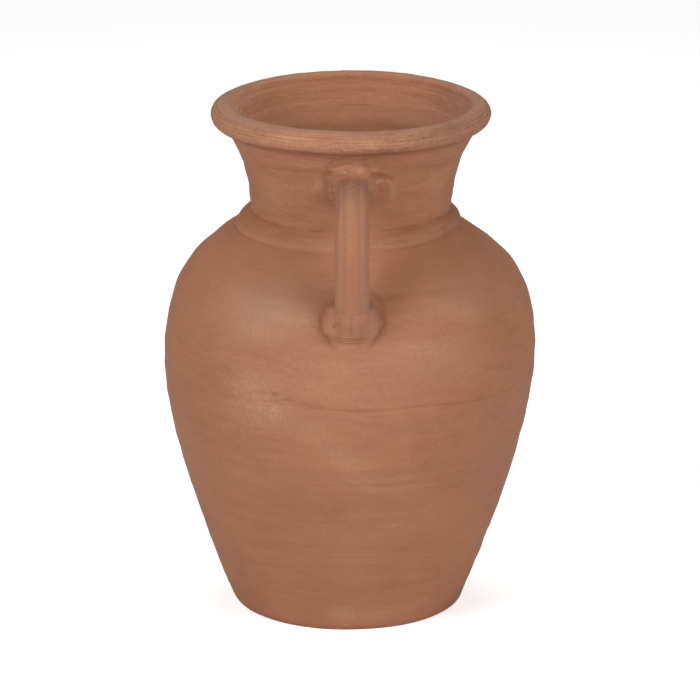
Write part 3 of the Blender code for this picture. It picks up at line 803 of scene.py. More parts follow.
def build_lip():
    along, line, normal = lip_section()
    along, radius, z = along[:, None], line[:, :1], line[:, 1:]
    outward, upward = normal[:, :1], normal[:, 1:]
    total = along.max()
    on_roll = smooth(-0.75, -0.1, upward) * smooth(-0.05, 0.35, outward)
    on_top = smooth(0.55, 0.95, upward)
    inward = smooth(0.1, 0.8, -outward)
    on_inside = smooth(0.2, 0.9, -outward)
    ends = smooth(0, 2.5, along) * (1 - smooth(total - 9, total, along))
    # grooves and scratches along the roll, strong in patches
    grooves = np.cos(
        math.tau * along / 2.3 + 0.9 * np.cos(THETA + 0.4) + 0.5 * np.cos(3 * THETA))
    fine = np.cos(math.tau * along / 1.15 + 1.4 * np.cos(THETA - 0.5))
    scratch = scratches(THETA, along)
    strength = 0.45 + 0.55 * np.tanh(1.5 * patches2(THETA, along * 3))
    strength = strength + 0.55 * span(THETA, -75, 15, 20)
    chips = 0.5 * spot(THETA, along, -38, 14.5, 1.6, 1.0, radius=76)
    chips = chips + 0.4 * spot(THETA, along, 22, 9.0, 1.4, 0.8, radius=79)
    cuts = 0.075 * grooves + 0.05 * fine + 0.06 * scratch
    relief = on_roll * cuts * np.clip(strength, 0.1, 1.1)
    relief = relief + 0.07 * ripple(THETA, along * 2.2 + 30) + 0.03 * ridges(THETA, along * 2)
    relief = relief + (0.10 * unround(THETA, 290) + 0.05 * dabs(THETA, along * 0.4)) * ends
    relief = relief + inside_relief(THETA, z) * inward * (-outward) - chips
    # the rim's drift off round and off level
    inner_shift = smooth(-0.2, 0.9, -outward + 0.6 * on_top)
    inner_shift = inner_shift * (1 - smooth(total - 10, total - 2, along))
    shift = bells(THETA, LIP_ROUND) * ends + 1.2 * np.sin(THETA) * inner_shift
    level = 0.30 * np.cos(THETA) + 0.10 * np.cos(THETA - 1.4) + 0.16 * np.cos(3 * THETA + 0.4)
    level = level + bells(np.abs(THETA), LIP_LEVEL) + 0.28 * bell(THETA, 2.75, 0.22)

    worn = 0.5 + 0.5 * np.tanh(1.2 * dabs(THETA, along * 0.2))
    patch = np.clip(strength, 0.1, 1)
    pale = on_roll * (0.34 + 0.28 * worn * span(THETA, -80, 60, 15)) + 0.06 * on_top
    pale = pale + 0.45 * on_roll * smooth(0.2, 1.5, scratch + 0.4 * grooves) * patch
    # painted shadow in the undercut where the roll meets the neck
    dark = 0.50 * bell(along, 2.2, 1.3)
    dark = dark + 0.50 * on_roll * smooth(0.5, 1.7, -scratch - 0.4 * grooves) * patch
    # painted shade just inside the rim's inner corner and in the chips
    dark = dark + 0.30 * bell(z, 296.4, 1.6) * inward + 0.5 * chips
    smudge = 0.25 + 0.25 * np.tanh(scratch + dabs(THETA, along))
    dark = dark + on_roll * spot(THETA, along, -42, 15.5, 16, 2.6, radius=78) * smudge
    dark = dark + 0.34 * bell(upward, 0.82, 0.13) * (outward > 0) * span(THETA, -85, 5, 15)
    # painted sheen: the lip's top is painted greyer, standing in for the white surroundings it
    # reflects
    grey = 0.60 * on_top * (0.6 + 0.4 * span(np.abs(THETA), 40, 150, 20))
    grey = grey + MOUTH_SIDE_GREY * np.sin(THETA) ** 2 * on_inside
    tone = on_roll * (0.07 * span(THETA, -34, -6, 12) - 0.21 * span(THETA, 24, 62, 24))
    # painted shade on the roll's underside
    tone = tone - 0.15 * bell(along, 4.9, 2.0) * span(THETA, -60, 60, 20)

    rows = Rows()
    rows.add(place(THETA, radius + outward * relief + shift, z + upward * relief + level * ends),
             dark=np.clip(dark, 0, 1), pale=np.clip(pale, 0, 1), grey=grey,
             tone=tone + mouth_painted_light_and_shade(THETA, z) * on_inside)
    # the inner skirt's back, the groove over the neck's top edge, and the outer skirt's back
    for height in (283.0, 285.0, 286.6):
        skirt_r = neck_in(height) + 0.10 - inside_relief(THETA, height)
        rows.add(place(THETA, skirt_r, height))
    for share in reversed(TONGUE_SHARES):
        rows.add(place(THETA, *tongue(share, 0.08)))
    rows.add(surface(NECK_WALL, THETA, np.array([[286.6], [285.9]]), 0.02)[0])
    return rows.build("rolled_lip_fired")


# ------------------------------------------------------------------ the strap's line
HANDLE_DX = 1.2                                # the strap sits a little right of the pot's centre
STRAP_W, STRAP_T = 9.65, 6.5                   # half width and half thickness
STRAP_POWER = 2.7                              # how square its section is
FACE = HANDLE_OUT - 1.0                        # the strap's outer face at the grip
CREASE_Z = 189.6                               # crease under the strap's lower end
# middle line: (distance towards -Y, height, size of the section)
STRAP_LINE = [
    (60.0, 264.6, 1.00), (78.1, 267.2, 0.97), (93.6, 261.5, 0.96),
    (FACE - STRAP_T - 2.6, 246.0, 0.965), (FACE - STRAP_T, 229.0, 0.98),
    (FACE - STRAP_T, 215.0, 1.00), (FACE - STRAP_T - 0.55, 207.0, 1.00),
    (FACE - STRAP_T - 1.9, 200.0, 0.99), (FACE - STRAP_T - 6.0, 191.5, 0.95),
]


def strap_path(count):
    """Even distances along a Catmull-Rom curve through the middle line, and its points there."""
    padded = np.array([STRAP_LINE[0]] + STRAP_LINE + [STRAP_LINE[-1]], float)
    points = []
    for before, start, end, after in zip(padded, padded[1:], padded[2:], padded[3:]):
        for share in np.linspace(0, 1, 40, endpoint=False):
            points.append(0.5 * (
                2 * start + (end - before) * share
                + (2 * before - 5 * start + 4 * end - after) * share**2
                + (3 * start - before - 3 * end + after) * share**3
            ))
    points.append(padded[-1])
    points = np.array(points)
    even = np.linspace(0, distances(points)[-1], count)
    return even, resample(points, even)


def strap_front():
    """Heights and reach of the middle of the strap's outer face near its lower end."""
    line = strap_path(400)[1]
    tangent = tangents(line)
    out = line[:, 0] - tangent[:, 1] * STRAP_T * line[:, 2]
    z = line[:, 1] + tangent[:, 0] * STRAP_T * line[:, 2]
    keep = line[:, 1] < 235.0
    order = np.argsort(z[keep])
    return z[keep][order], out[keep][order]


FRONT_Z, FRONT_OUT = strap_front()


# ------------------------------------------------------------------ the handle's wads of clay
def build_wad(name, wall, centre, outline, lift_of, marks_of, rings, around=200):
    """A wad of clay on a wall. outline(angle) is its half size in mm along the wall; lift_of and
    marks_of give its height along -Y and its marks from (x, z, rim), with rim = 1 at its edge."""
    curve = wall[0]
    centre_x, centre_z = centre
    angle = (np.arange(around) / around * math.tau)[None, :]
    rim = np.linspace(0.012, 1.0, rings)[:, None] ** 0.85
    reach = outline(angle) * rim
    x = centre_x + reach * np.cos(angle)
    z = centre_z + reach * np.sin(angle) * curve.climb(centre_z)
    rim = rim + 0 * angle
    theta = np.arcsin(np.clip((x - lean_x(z)) / curve(z), -0.9, 0.9))
    lift = lift_of(x, z, rim)
    back = surface(wall, theta, z, 0.04)[0]
    rows = Rows()
    rows.add(back - np.stack([0 * lift, lift, 0 * lift], -1) * MM, *marks_of(x, z, rim))
    rows.add(back[::-8] + np.array([0, 0.03 * MM, 0]))
    return rows.build(name, capped=True)


def strap_face(x, z):
    """The strap's outer face where it runs down into the lower wad, with its rounded end."""
    x = np.abs(x - HANDLE_DX)
    half = STRAP_W + 0.25
    rounded = FACE - 5.4 * np.clip((213.0 - z) / (213.0 - CREASE_Z), 0, 1.2) ** 1.6
    follow = smooth(193.5, 199.0, z)
    middle = rounded * (1 - follow) + np.interp(z, FRONT_Z, FRONT_OUT) * follow
    flat = (1 - np.minimum(x / half, 1) ** STRAP_POWER) ** (1 / STRAP_POWER)
    beside = np.maximum(x - half, 0) * 2.4
    below = 3.0 * np.maximum(CREASE_Z + 0.055 * np.maximum(x - 5, 0) ** 1.5 - z, 0)
    return middle - STRAP_T * (1 - flat) - beside - below


def crease_bow(side):
    """How far the crease under the strap's end climbs towards its sides."""
    return 0.035 * np.maximum(np.abs(side) - 3, 0) ** 1.6


# thin folds in the smear below the strap: (height, depth, height of the dark line, dark)
FOLDS = [(188.05, 0.42, 188.0, 0.65), (186.55, 0.32, 186.5, 0.50)]


def lower_lift(x, z, rim):
    side = x - HANDLE_DX
    low = smooth(185.5, 195.5, z)
    ease = 0.62 + 1.3 * (1 - smooth(183, 191, z))
    mound = (5.0 + 5.0 * low * (1 - 0.65 * smooth(198, 208, z))) * (1 - rim**2.6) ** ease
    # hollows in the lobes left and right of the strap
    mound = mound - 0.9 * oval(x + 8.6, z - 197.6, 1.5, 1.3)
    mound = mound - 0.7 * oval(x - 15.6, z - 194.6, 1.2, 1.6)
    mound = mound + 0.12 * np.sin(x * 0.9 + z * 0.35) * (1 - rim)
    # the strap's face, standing proud low down and sinking behind the strap along a wavy line
    wavy = z + 1.1 * np.cos(0.42 * (x - 3.0)) + 0.5 * np.sin(1.3 * x)
    face = strap_face(x, z) + 0.14 * (1 - smooth(198.5, 203.5, wavy))
    face = face - 0.40 * smooth(200.5, 206.5, wavy) - wall_out(body_r, x, z)
    fill = 1.2 + 4.5 * smooth(190.5, 198.0, z)
    skin = larger(face, mound, fill) - 0.125 * fill * bell(face - mound, 0, fill)
    # crease at the strap's end, and the folds below it
    skin = skin - 0.45 * bell(z - CREASE_Z - crease_bow(side), -0.45, 0.4) * bell(side, 0, 11.5, 6)
    for level, depth, _, _ in FOLDS:
        width = bell(side, -1.5, 9.0, 8)
        skin = skin - depth * bell(z - 0.02 * side, level, 0.36) * width
        skin = skin + 0.20 * bell(z, level + 0.72, 0.34) * width
    # behind the strap the wad slopes down to the shoulder
    skin = skin * (1 - smooth(204.4, 208.9, z) * bell(side, 0, 9.4, 6))
    return np.maximum(skin, 0.02) * smooth(1.0, 0.97, rim)


def lower_marks(x, z, rim):
    side = x - HANDLE_DX
    turn = np.arctan2(z - 196.0, x)
    # painted shade round the wad's rim, stronger low on the wad and on its left
    upper = smooth(182, 190, z) * (1 - 0.6 * smooth(201, 207, z))
    dark = 0.62 * bell(rim, 1, 0.055) * (0.62 + 0.38 * np.cos(3 * turn + 1.2)) * upper
    dark = dark + 0.30 * bell(rim, 1, 0.16) * smooth(0.2, 0.8, -np.cos(turn)) * upper
    # painted shade in the crease under the strap's end and in the folds below it
    crease = bell(z - CREASE_Z - crease_bow(side), -0.35, 0.34) * bell(side, 0, 11.0, 6)
    dark = np.maximum(dark, 0.85 * crease)
    for _, _, level, strength in FOLDS:
        fold = bell(z - 0.02 * side, level, 0.36) * bell(side, -1.5, 9.0, 8)
        dark = np.maximum(dark, strength * fold)
    left_nick = stroke(x, z, [(-9.6, 196.6), (-8.2, 197.4), (-7.4, 199.6)], 0.7)
    right_nick = stroke(x, z, [(14.6, 193.4), (16.0, 193.6), (16.6, 195.6), (15.4, 196.6)], 0.5)
    stripes = np.maximum(0, np.cos(0.95 * side + 0.8)) ** 3
    stripes = stripes * smooth(191, 195, z) * bell(side, 0, 9.0, 6)
    for strength, mark in ((0.60, left_nick), (0.45, right_nick), (0.24, stripes)):
        dark = np.maximum(dark, strength * mark)
    # painted highlight on the ridges between the folds, and a pale toe
    pale = 0.60 * bell(z, 188.85, 0.36) * bell(side, 0, 9, 6)
    pale = np.maximum(pale, 0.48 * bell(z, 187.3, 0.36) * bell(side, 0, 9, 6))
    pale = np.maximum(pale, 0.25 * (1 - smooth(184, 187, z)))
    grey = (0.14 - 0.02 * smooth(196, 202, z)) * smooth(186, 191, z)
    grey = grey * (1 - smooth(0.86, 1.0, rim))
    grey = grey + 0.25 * smooth(4, 9, side) * (1 - smooth(11, 15, side))
    beside_strap = 1 - smooth(189, 192, z) * bell(side, 0, 9.5, 6)
    tone = 0.14 * smooth(180, 184, z) * (1 - smooth(0.80, 1.0, rim)) * beside_strap
    tone = 0.03 * smooth(180, 184, z) + tone
    return np.clip(dark, 0, 1), pale, np.clip(grey, 0, 1), tone


def upper_outline(angle):
    """Half size of the upper wad, a little wider to the left than to the right."""
    cosine, sine = np.cos(angle), np.sin(angle)
    wide = np.where(cosine > 0, 23.5, 27.0)
    tall = np.where(sine > 0, 20.0, 18.5)
    lobes = 0.045 * np.cos(3 * angle + 0.8) + 0.035 * np.cos(5 * angle + 2.0)
    lobes = lobes + 0.02 * np.cos(9 * angle)
    return superellipse(cosine / wide, sine / tall, 2.2) * (1 + lobes)


# smears left by the potter's fingers: ((x, z) points, half width, height, dark, pale); dark is
# painted shade in the sunk smears and pale is painted highlight on the raised ones
SMEARS = [
    ([(-12.5, 282.2), (-8.0, 284.0), (-2.0, 285.2), (5.0, 285.0)], 0.65, -0.30, 0.45, 0.0),
    ([(-13.0, 280.6), (-6.0, 283.2), (2.0, 284.2), (13.5, 282.6)], 0.75, 0.28, 0.0, 0.45),
    ([(-9.5, 278.6), (-4.0, 280.6), (0.5, 281.6)], 0.6, -0.26, 0.42, 0.0),
    ([(-9.5, 276.8), (-3.0, 279.6), (3.0, 281.8), (9.0, 281.6)], 1.3, 0.30, 0.0, 0.42),
    ([(0.5, 279.6), (3.4, 279.0), (6.4, 277.4)], 1.9, 0.20, 0.0, 0.66),
    ([(-2.2, 277.6), (0.0, 276.0)], 0.45, -0.35, 0.60, 0.0),
    ([(-8.2, 275.2), (-4.2, 276.4), (-1.6, 276.0)], 1.1, 0.15, 0.0, 0.45),
    ([(8.2, 280.4), (10.4, 279.8), (11.4, 275.0)], 1.3, -0.30, 0.42, 0.0),
    ([(12.6, 276.4), (17.5, 275.4), (23.0, 274.6)], 0.9, 0.26, 0.0, 0.52),
    ([(12.8, 273.8), (18.0, 272.4), (24.0, 270.4)], 1.7, -0.22, 0.64, 0.0),
    ([(15.0, 268.4), (18.6, 269.4)], 1.6, 0.35, 0.0, 0.55),
    ([(20.8, 270.4), (21.8, 268.4)], 1.2, 0.20, 0.0, 0.45),
    ([(22.6, 267.0), (24.0, 262.0), (24.2, 258.0)], 1.8, 0.24, 0.0, 0.40),
    ([(20.6, 266.6), (21.6, 260.6)], 0.8, -0.20, 0.34, 0.0),
    ([(12.6, 266.0), (14.0, 262.0), (13.4, 256.0)], 1.2, 0.30, 0.0, 0.25),
    ([(16.6, 263.6), (19.4, 262.2)], 1.5, -0.40, 0.45, 0.0),
    ([(-18.8, 272.6), (-18.0, 266.6)], 3.0, 0.15, 0.0, 0.60),
    ([(-21.4, 266.4), (-19.8, 262.6)], 1.5, 0.12, 0.0, 0.40),
    ([(-12.6, 271.6), (-11.6, 266.0), (-10.4, 262.0)], 0.7, 0.22, 0.0, 0.22),
    ([(18.6, 257.6), (21.6, 255.2), (20.6, 252.0)], 1.8, -0.30, 0.36, 0.0),
    ([(-15.2, 272.0), (-13.4, 269.0), (-12.4, 262.6), (-9.5, 252.0)], 1.6, -0.30, 0.38, 0.0),
    ([(-17.4, 266.6), (-15.4, 262.8)], 0.9, 0.26, 0.0, 0.34),
    ([(-10.8, 264.0), (-10.0, 260.0), (-8.6, 255.0)], 1.2, 0.40, 0.0, 0.34),
    ([(-15.4, 273.4), (-11.0, 274.4)], 1.9, -0.20, 0.50, 0.0),
]


def upper_lift(x, z, rim):
    side = x - HANDLE_DX
    dome = (1 - rim**2.0) ** 1.5
    from_root = np.hypot(np.maximum(np.abs(side) - 8.0, 0),
                         np.maximum(np.abs(z - 264.6) - 5.0, 0))
    drag = 0.22 * np.sin(0.55 * (side * 0.35 + z) + 0.4)
    drag = drag + 0.12 * np.sin(1.35 * (z - 0.5 * side) + 2) + 0.10 * np.sin(1.9 * side + 0.4 * z)
    lift = 0.02 + 0.45 * dome + 1.25 * dome * bell(from_root, 0, 7.0) + 0.9 * drag * dome
    # clay dragged up from the strap's root makes a ramp
    ramp = bell(side, 0.5, 10.5, 4) * smooth(285.5, 273.0, z) * smooth(262.0, 268.0, z)
    lift = lift + 3.4 * ramp * dome - 0.9 * dome * oval(side - 18.0, z - 259.0, 6.0, 7.0)
    for points, half, height, _, _ in SMEARS:
        lift = lift + height * stroke(x, z, points, half) * smooth(1.0, 0.8, rim)
    return np.maximum(lift, 0.02) * smooth(1.0, 0.96, rim)


def upper_marks(x, z, rim):
    side = x - HANDLE_DX
    dark, pale = 0 * x, 0 * x
    for points, half, _, darkness, paleness in SMEARS:
        smear = stroke(x, z, points, half * 1.15) * smooth(1.02, 0.9, rim)
        dark, pale = np.maximum(dark, darkness * smear), np.maximum(pale, paleness * smear)
    # painted shade either side of the strap's root, where its shadow falls, the right one over the
    # thumb hollow
    dark = np.maximum(dark, 0.38 * oval(side - 14.5, z - 258.0, 7.0, 9.0))
    dark = np.maximum(dark, 0.30 * oval(side + 14.0, z - 257.0, 4.5, 8.0))
    pale = np.maximum(pale, 0.30 * oval(side + 18.0, z - 268.0, 4.0, 5.0))
    # painted highlight on the smear at the top: the pale spot here and the lighter tone below
    pale = np.maximum(pale, 0.30 * oval(side - 2.0, z - 279.0, 9.0, 4.0))
    grey = 0.30 * oval(side, z - 266.0, 12.0, 7.0)
    tone = 0.16 * oval(side - 1.0, z - 279.0, 10.0, 5.0)
    fade = smooth(1.0, 0.86, rim)
    return np.clip(dark, 0, 1) * fade, np.clip(pale, 0, 1) * fade, grey * fade, tone * fade


# ------------------------------------------------------------------ strap handle
ROOT_TOP_Z = 285.0                             # the neck's wall is followed no higher than this


def build_handle():
    count, around = 260, 144
    along, line = strap_path(count)
    tangent = tangents(line)
    # points away from the pot on the way down
    normal_out, normal_z = -tangent[:, 1][:, None], tangent[:, 0][:, None]
    line_out, line_z, size = line[:, :1], line[:, 1:2], line[:, 2:]
    share = (along / along[-1])[:, None]
    angle = (np.arange(around) / around * math.tau)[None, :]
    # across is 1 at the right edge, outer is 1 at the middle of the outer face
    across, outer = np.cos(angle), np.sin(angle)
    reach = superellipse(across, outer, STRAP_POWER)
    # pulled by hand: shallow lengthwise flutes that wander, and a slightly uneven width
    free = smooth(204, 232, line_z)
    flutes = (
        0.16 * np.cos(7 * angle + 0.8 + 1.6 * share) + 0.12 * np.cos(13 * angle + 2.0 - 2.4 * share)
        + 0.08 * np.cos(24 * angle + 3 * share) + 0.07 * np.cos(3 * angle + 4 * share)
    ) * free
    uneven = 0.16 * np.cos(math.tau * share * 1.7 + 1) + 0.10 * np.cos(math.tau * share * 4.3)
    folds = 0.16 * bell(share, 0.20, 0.08) * np.cos(11 * angle + 5 * share) * smooth(0.1, 0.7, outer)
    grow = flutes + uneven * free + folds
    side = reach * across * STRAP_W * size + grow * across
    depth = reach * outer * STRAP_T * size + grow * outer
    out = line_out + normal_out * depth
    z = line_z + normal_z * depth
    # the root flares like a trumpet on to the neck, wider on its right
    gap = out - wall_out(neck_r, side + HANDLE_DX, np.minimum(z, ROOT_TOP_Z))
    flare = 7.5 + 1.6 * np.maximum(across, 0) - 1.2 * np.maximum(-across, 0)
    flare = flare + 1.4 * np.maximum(outer, 0) + 0.4 * np.cos(5 * angle + 1)
    near = np.clip((flare - np.maximum(gap, 0)) / flare, 0, 1) * (share < 0.4)
    swell = flare * (1 - np.sqrt(np.maximum(1 - near**2, 0)))
    side = side + swell * across
    z = z + swell * outer * normal_z
    out = out + swell * outer * normal_out
    # its end beds into the neck's wall, and follows its curve
    bed = wall_out(neck_r, side + HANDLE_DX, np.minimum(z, ROOT_TOP_Z)) - 2.2
    out = out + (bed - out) * (1 - smooth(0.0, 0.055, share))

    # painted sheen: edges and upward faces are painted greyer, standing in for the white
    # surroundings they reflect at a low angle
    facing_up = smooth(0.25, 0.9, np.abs(normal_z) * outer)
    edges = 0.34 * smooth(0.20, 0.80, across) + 0.22 * smooth(0.30, 0.85, -across)
    grey = edges * smooth(-0.9, 0.3, outer) + 0.40 * facing_up
    grey = np.clip(grey + 0.19 * (1 - smooth(200, 226, line_z)), 0, 0.85)
    grey = grey * (1 - smooth(0.4, 1.0, near) * 0.6)
    # a pale stripe wanders down the outer face
    wander = 0.25 * np.cos(math.tau * share * 1.3 + 0.6)
    pale = 0.26 * bell(across + 0.12 + wander * 0.3, 0, 0.34) * smooth(0, 0.6, outer)
    pale = pale * bell(share, 0.46, 0.20) + 0.10 * near * smooth(0.3, 0.9, outer)
    # painted shade in the flutes' hollows, and a dark line along the right edge
    dark = 0.20 * np.maximum(0, np.cos(7 * angle + 0.8 + 1.6 * share + math.pi)) ** 3 * free
    edge_line = bell(across - 0.05 * np.cos(9 * share), 0.72, 0.05) * smooth(0, 0.5, outer)
    dark = dark + 0.24 * edge_line * free * smooth(0.3, 0.42, share)
    # folds where the strap turns down arch over it; they are only painted, a painted shade line in
    # each with a painted highlight beside it
    on_face = smooth(0.1, 0.6, outer)
    for level, strength in ((0.150, 0.20), (0.185, 0.62), (0.225, 0.28)):
        arch = share - level - 0.075 * across**2 - 0.008 * np.cos(7 * angle)
        patchiness = 0.65 + 0.35 * np.cos(5 * angle + 1)
        dark = dark + strength * bell(arch, 0, 0.011) * on_face * patchiness
        pale = pale + 0.5 * strength * bell(arch, 0.024, 0.012) * on_face
    rows = Rows()
    rows.add(np.stack([side + HANDLE_DX, -out, z], -1) * MM, np.clip(dark, 0, 1),
             np.clip(pale, 0, 1), grey, -0.07 * (1 - smooth(0.30, 0.55, share)))
    return rows.build("handle_fired", capped=True)


# ------------------------------------------------------------------ materials
def srgb(*channels):
    """Linear colour from 0-255 display values."""
    def linear(value):
        value /= 255.0
        return value / 12.92 if value <= 0.04045 else ((value + 0.055) / 1.055) ** 2.4
    return (*map(linear, channels), 1.0)


class Nodes:
    """Small helper that adds and wires shader nodes."""

    def __init__(self, tree):
        self.tree = tree

    def put(self, kind, inputs, **settings):
        node = self.tree.nodes.new(kind)
        for key, value in settings.items():
            setattr(node, key, value)
        for key, value in inputs.items():
            self.feed(node.inputs[key], value)
        return node

    def feed(self, socket, value):
        if isinstance(value, bpy.types.NodeSocket):
            self.tree.links.new(value, socket)
        else:
            socket.default_value = value

    def math(self, operation, first, second, clamp=False):
        node = self.put("ShaderNodeMath", {0: first, 1: second}, operation=operation,
                        use_clamp=clamp)
        return node.outputs[0]

    def plus(self, first, second):
        return self.math("ADD", first, second)

    def times(self, first, second):
        return self.math("MULTIPLY", first, second)

    def centred(self, value):
        return self.math("SUBTRACT", value, 0.5)

    def weighted(self, *pairs):
        """Sum of value x weight."""
        return functools.reduce(self.plus, [self.times(value, weight) for value, weight in pairs])

    def stretch(self, value, low, high, to_low=0.0, to_high=1.0):
        return self.put("ShaderNodeMapRange", {
            "Value": value, "From Min": low, "From Max": high, "To Min": to_low, "To Max": to_high,
        }, interpolation_type="SMOOTHSTEP").outputs["Result"]

    def mix(self, factor, below, above, blend="MIX"):
        # 0 is the factor, 6 and 7 are the colours
        return self.put("ShaderNodeMix", {0: factor, 6: below, 7: above}, data_type="RGBA",
                        blend_type=blend).outputs[2]

    def tinted(self, colour, red, green, blue):
        tint = self.put("ShaderNodeCombineColor", {0: red, 1: green, 2: blue}).outputs[0]
        return self.mix(1.0, colour, tint, "MULTIPLY")

    def noise(self, vector, scale, detail=3.0, roughness=0.5, distortion=0.0):
        return self.put("ShaderNodeTexNoise", {
            "Vector": vector, "Scale": scale, "Detail": detail, "Roughness": roughness,
            "Distortion": distortion,
        }).outputs["Fac"]

    def scaled(self, vector, factors):
        return self.put("ShaderNodeVectorMath", {0: vector, 1: factors},
                        operation="MULTIPLY").outputs[0]

    def attribute(self, name):
        return self.put("ShaderNodeAttribute", {}, attribute_name=name).outputs["Fac"]


ORANGE = srgb(184, 124, 90)
PINK = srgb(170, 112, 90)
UMBER = srgb(158, 102, 76)
WASH = srgb(203, 156, 122)
CREASE = srgb(146, 82, 58)
DUST_AND_SHEEN_GREY = srgb(176, 138, 120)


def terracotta(name, brightness, along, streak, warmth=0.0):
    """Unglazed fired clay. along stretches the streaks: small numbers along them, large across."""
    material = bpy.data.materials.new(name)
    material.use_nodes = True
    shader = material.node_tree.nodes["Principled BSDF"]
    nodes = Nodes(material.node_tree)
    where = nodes.put("ShaderNodeTexCoord", {}).outputs["Object"]
    lined = nodes.scaled(where, along)
    # clay tones: broad clouds of orange, pink and brown
    broad = nodes.noise(where, scale=14.0, roughness=0.55, distortion=0.4)
    broad2 = nodes.noise(nodes.scaled(where, (1.0, 1.0, 1.7)), scale=27.0, detail=4.0,
                         roughness=0.6, distortion=0.6)
    orange = nodes.stretch(broad, 0.36 - warmth, 0.64 - warmth, to_low=0.30, to_high=0.74)
    colour = nodes.mix(orange, PINK, ORANGE)
    colour = nodes.mix(nodes.stretch(broad2, 0.48, 0.78, to_high=0.30), colour, UMBER)
    # wheel streaks at three widths, patchy along their length
    wide = nodes.noise(lined, scale=70.0, roughness=0.6, distortion=0.15)
    fine = nodes.noise(lined, scale=260.0, roughness=0.6, distortion=0.1)
    hair = nodes.noise(lined, scale=800.0, detail=2.0, roughness=0.6)
    # sandy grain
    grain = nodes.noise(where, scale=1500.0, detail=2.0, roughness=0.7)
    mottling = nodes.noise(where, scale=420.0, roughness=0.65)
    # the lower body was wiped smoother than the rest
    height = nodes.put("ShaderNodeSeparateXYZ", {"Vector": where}).outputs["Z"]
    rougher = nodes.stretch(height, 0.06, 0.15, to_low=0.70)
    clouds = nodes.noise(where, scale=22.0, detail=2.0)
    patch = nodes.times(nodes.stretch(clouds, 0.36, 0.66, to_low=0.45, to_high=1.25), rougher)
    # (texture, where it shows, strength)
    textures = [
        (wide, rougher, 0.15 * streak), (fine, patch, 0.34 * streak), (hair, patch, 0.30 * streak),
        (grain, rougher, 0.34), (mottling, rougher, 0.26),
    ]
    shade = nodes.weighted(*[
        (nodes.centred(texture), nodes.times(mask, strength))
        for texture, mask, strength in textures
    ])
    colour = nodes.tinted(
        colour,
        red=nodes.plus(nodes.times(shade, 0.85), 1.0),
        green=nodes.plus(shade, 1.0),
        blue=nodes.plus(nodes.times(shade, 1.05), 1.0),
    )
    # thin pale wash, brushed on and worn through along the streaks
    worn = nodes.stretch(nodes.weighted((wide, 0.5), (mottling, 0.5)), 0.40, 0.62)
    thin = nodes.times(nodes.attribute("pale"), nodes.plus(0.35, nodes.times(worn, 0.65)))
    everywhere = nodes.times(nodes.stretch(broad2, 0.50, 0.30, to_high=0.10), worn)
    wash = nodes.math("MULTIPLY", nodes.math("MAXIMUM", thin, everywhere), 0.85, clamp=True)
    colour = nodes.mix(wash, colour, WASH)
    # painted shade: creases, grooves and hollows (the dark mark) are painted a darker, redder brown
    crease = nodes.math("MULTIPLY", nodes.attribute("dark"), 0.85, clamp=True)
    colour = nodes.mix(crease, colour, CREASE)
    # handled faces look greyer with dust (the grey mark, which also carries painted sheen), and
    # faces turned away from the camera get painted sheen, standing in for the white surroundings
    # they reflect at a low angle
    facing = nodes.put("ShaderNodeLayerWeight", {"Blend": 0.35}).outputs["Facing"]
    dust_and_sheen = nodes.plus(nodes.times(nodes.attribute("grey"), 0.55),
                       nodes.stretch(facing, 0.35, 1.0, to_high=0.35))
    colour = nodes.mix(nodes.math("MINIMUM", dust_and_sheen, 0.8), colour, DUST_AND_SHEEN_GREY)
    # a few dark specks and pinholes
    specks = nodes.put("ShaderNodeTexVoronoi", {"Vector": where, "Scale": 150.0, "Randomness": 1.0})
    speck_size = nodes.stretch(nodes.noise(where, scale=60.0, detail=1.0), 0.62, 0.80, to_high=0.12)
    hole = nodes.math("LESS_THAN", specks.outputs["Distance"], speck_size)
    colour = nodes.mix(nodes.times(hole, 0.45), colour, CREASE)
    # overall brightness, and the tone mark
    lighter = nodes.plus(nodes.attribute("tone"), 1.0)
    colour = nodes.tinted(
        colour,
        red=nodes.times(lighter, 0.854 * brightness),
        green=nodes.times(lighter, 0.866 * brightness),
        blue=nodes.times(lighter, 0.840 * brightness),
    )
    nodes.feed(shader.inputs["Base Color"], colour)
    rough = nodes.math("ADD", 0.80, nodes.times(nodes.centred(mottling), 0.18), clamp=True)
    rough = nodes.math("SUBTRACT", rough, nodes.times(thin, 0.05))
    nodes.feed(shader.inputs["Roughness"], rough)
    shader.inputs["Specular IOR Level"].default_value = 0.25
    # relief: sand, streaks and pinholes
    relief = nodes.weighted((grain, 0.35), (mottling, 0.30), (hair, 0.55 * streak),
                            (fine, 0.9 * streak))
    relief = nodes.math("SUBTRACT", relief, nodes.times(hole, 0.8))
    bump = nodes.put("ShaderNodeBump", {"Height": relief, "Strength": 0.55, "Distance": 0.00028})
    nodes.feed(shader.inputs["Normal"], bump.outputs["Normal"])
    return material


LEVEL = (0.13, 0.13, 1.0)       # streaks run round the pot
LIP_LEVEL_STREAKS = (0.32, 0.32, 3.0)
UPRIGHT = (1.0, 0.25, 0.06)     # streaks run down the strap
SMEARED = (0.9, 0.4, 0.30)
clay_body = terracotta("terracotta_body", brightness=1.0, along=LEVEL, streak=0.8)
clay_neck = terracotta("terracotta_neck", brightness=0.97, along=LEVEL, streak=1.15, warmth=-0.02)
clay_lip = terracotta("terracotta_lip", brightness=1.005, along=LIP_LEVEL_STREAKS, streak=2.9,
                      warmth=0.02)
clay_handle = terracotta("terracotta_handle", brightness=0.95, along=UPRIGHT, streak=1.3,
                         warmth=-0.02)
clay_wad = terracotta("terracotta_wad", brightness=0.96, along=SMEARED, streak=1.0, warmth=-0.02)

# ------------------------------------------------------------------ pieces
lower_wad = functools.partial(
    build_wad, "handle_lower_pad_fired", BODY_WALL, centre=(LOWER_WAD_X, LOWER_WAD_Z),
    outline=lower_outline, lift_of=lower_lift, marks_of=lower_marks, rings=92)
upper_wad = functools.partial(
    build_wad, "handle_upper_pad_fired", NECK_WALL, centre=(4.0, 266.0),
    outline=upper_outline, lift_of=upper_lift, marks_of=upper_marks, rings=80)

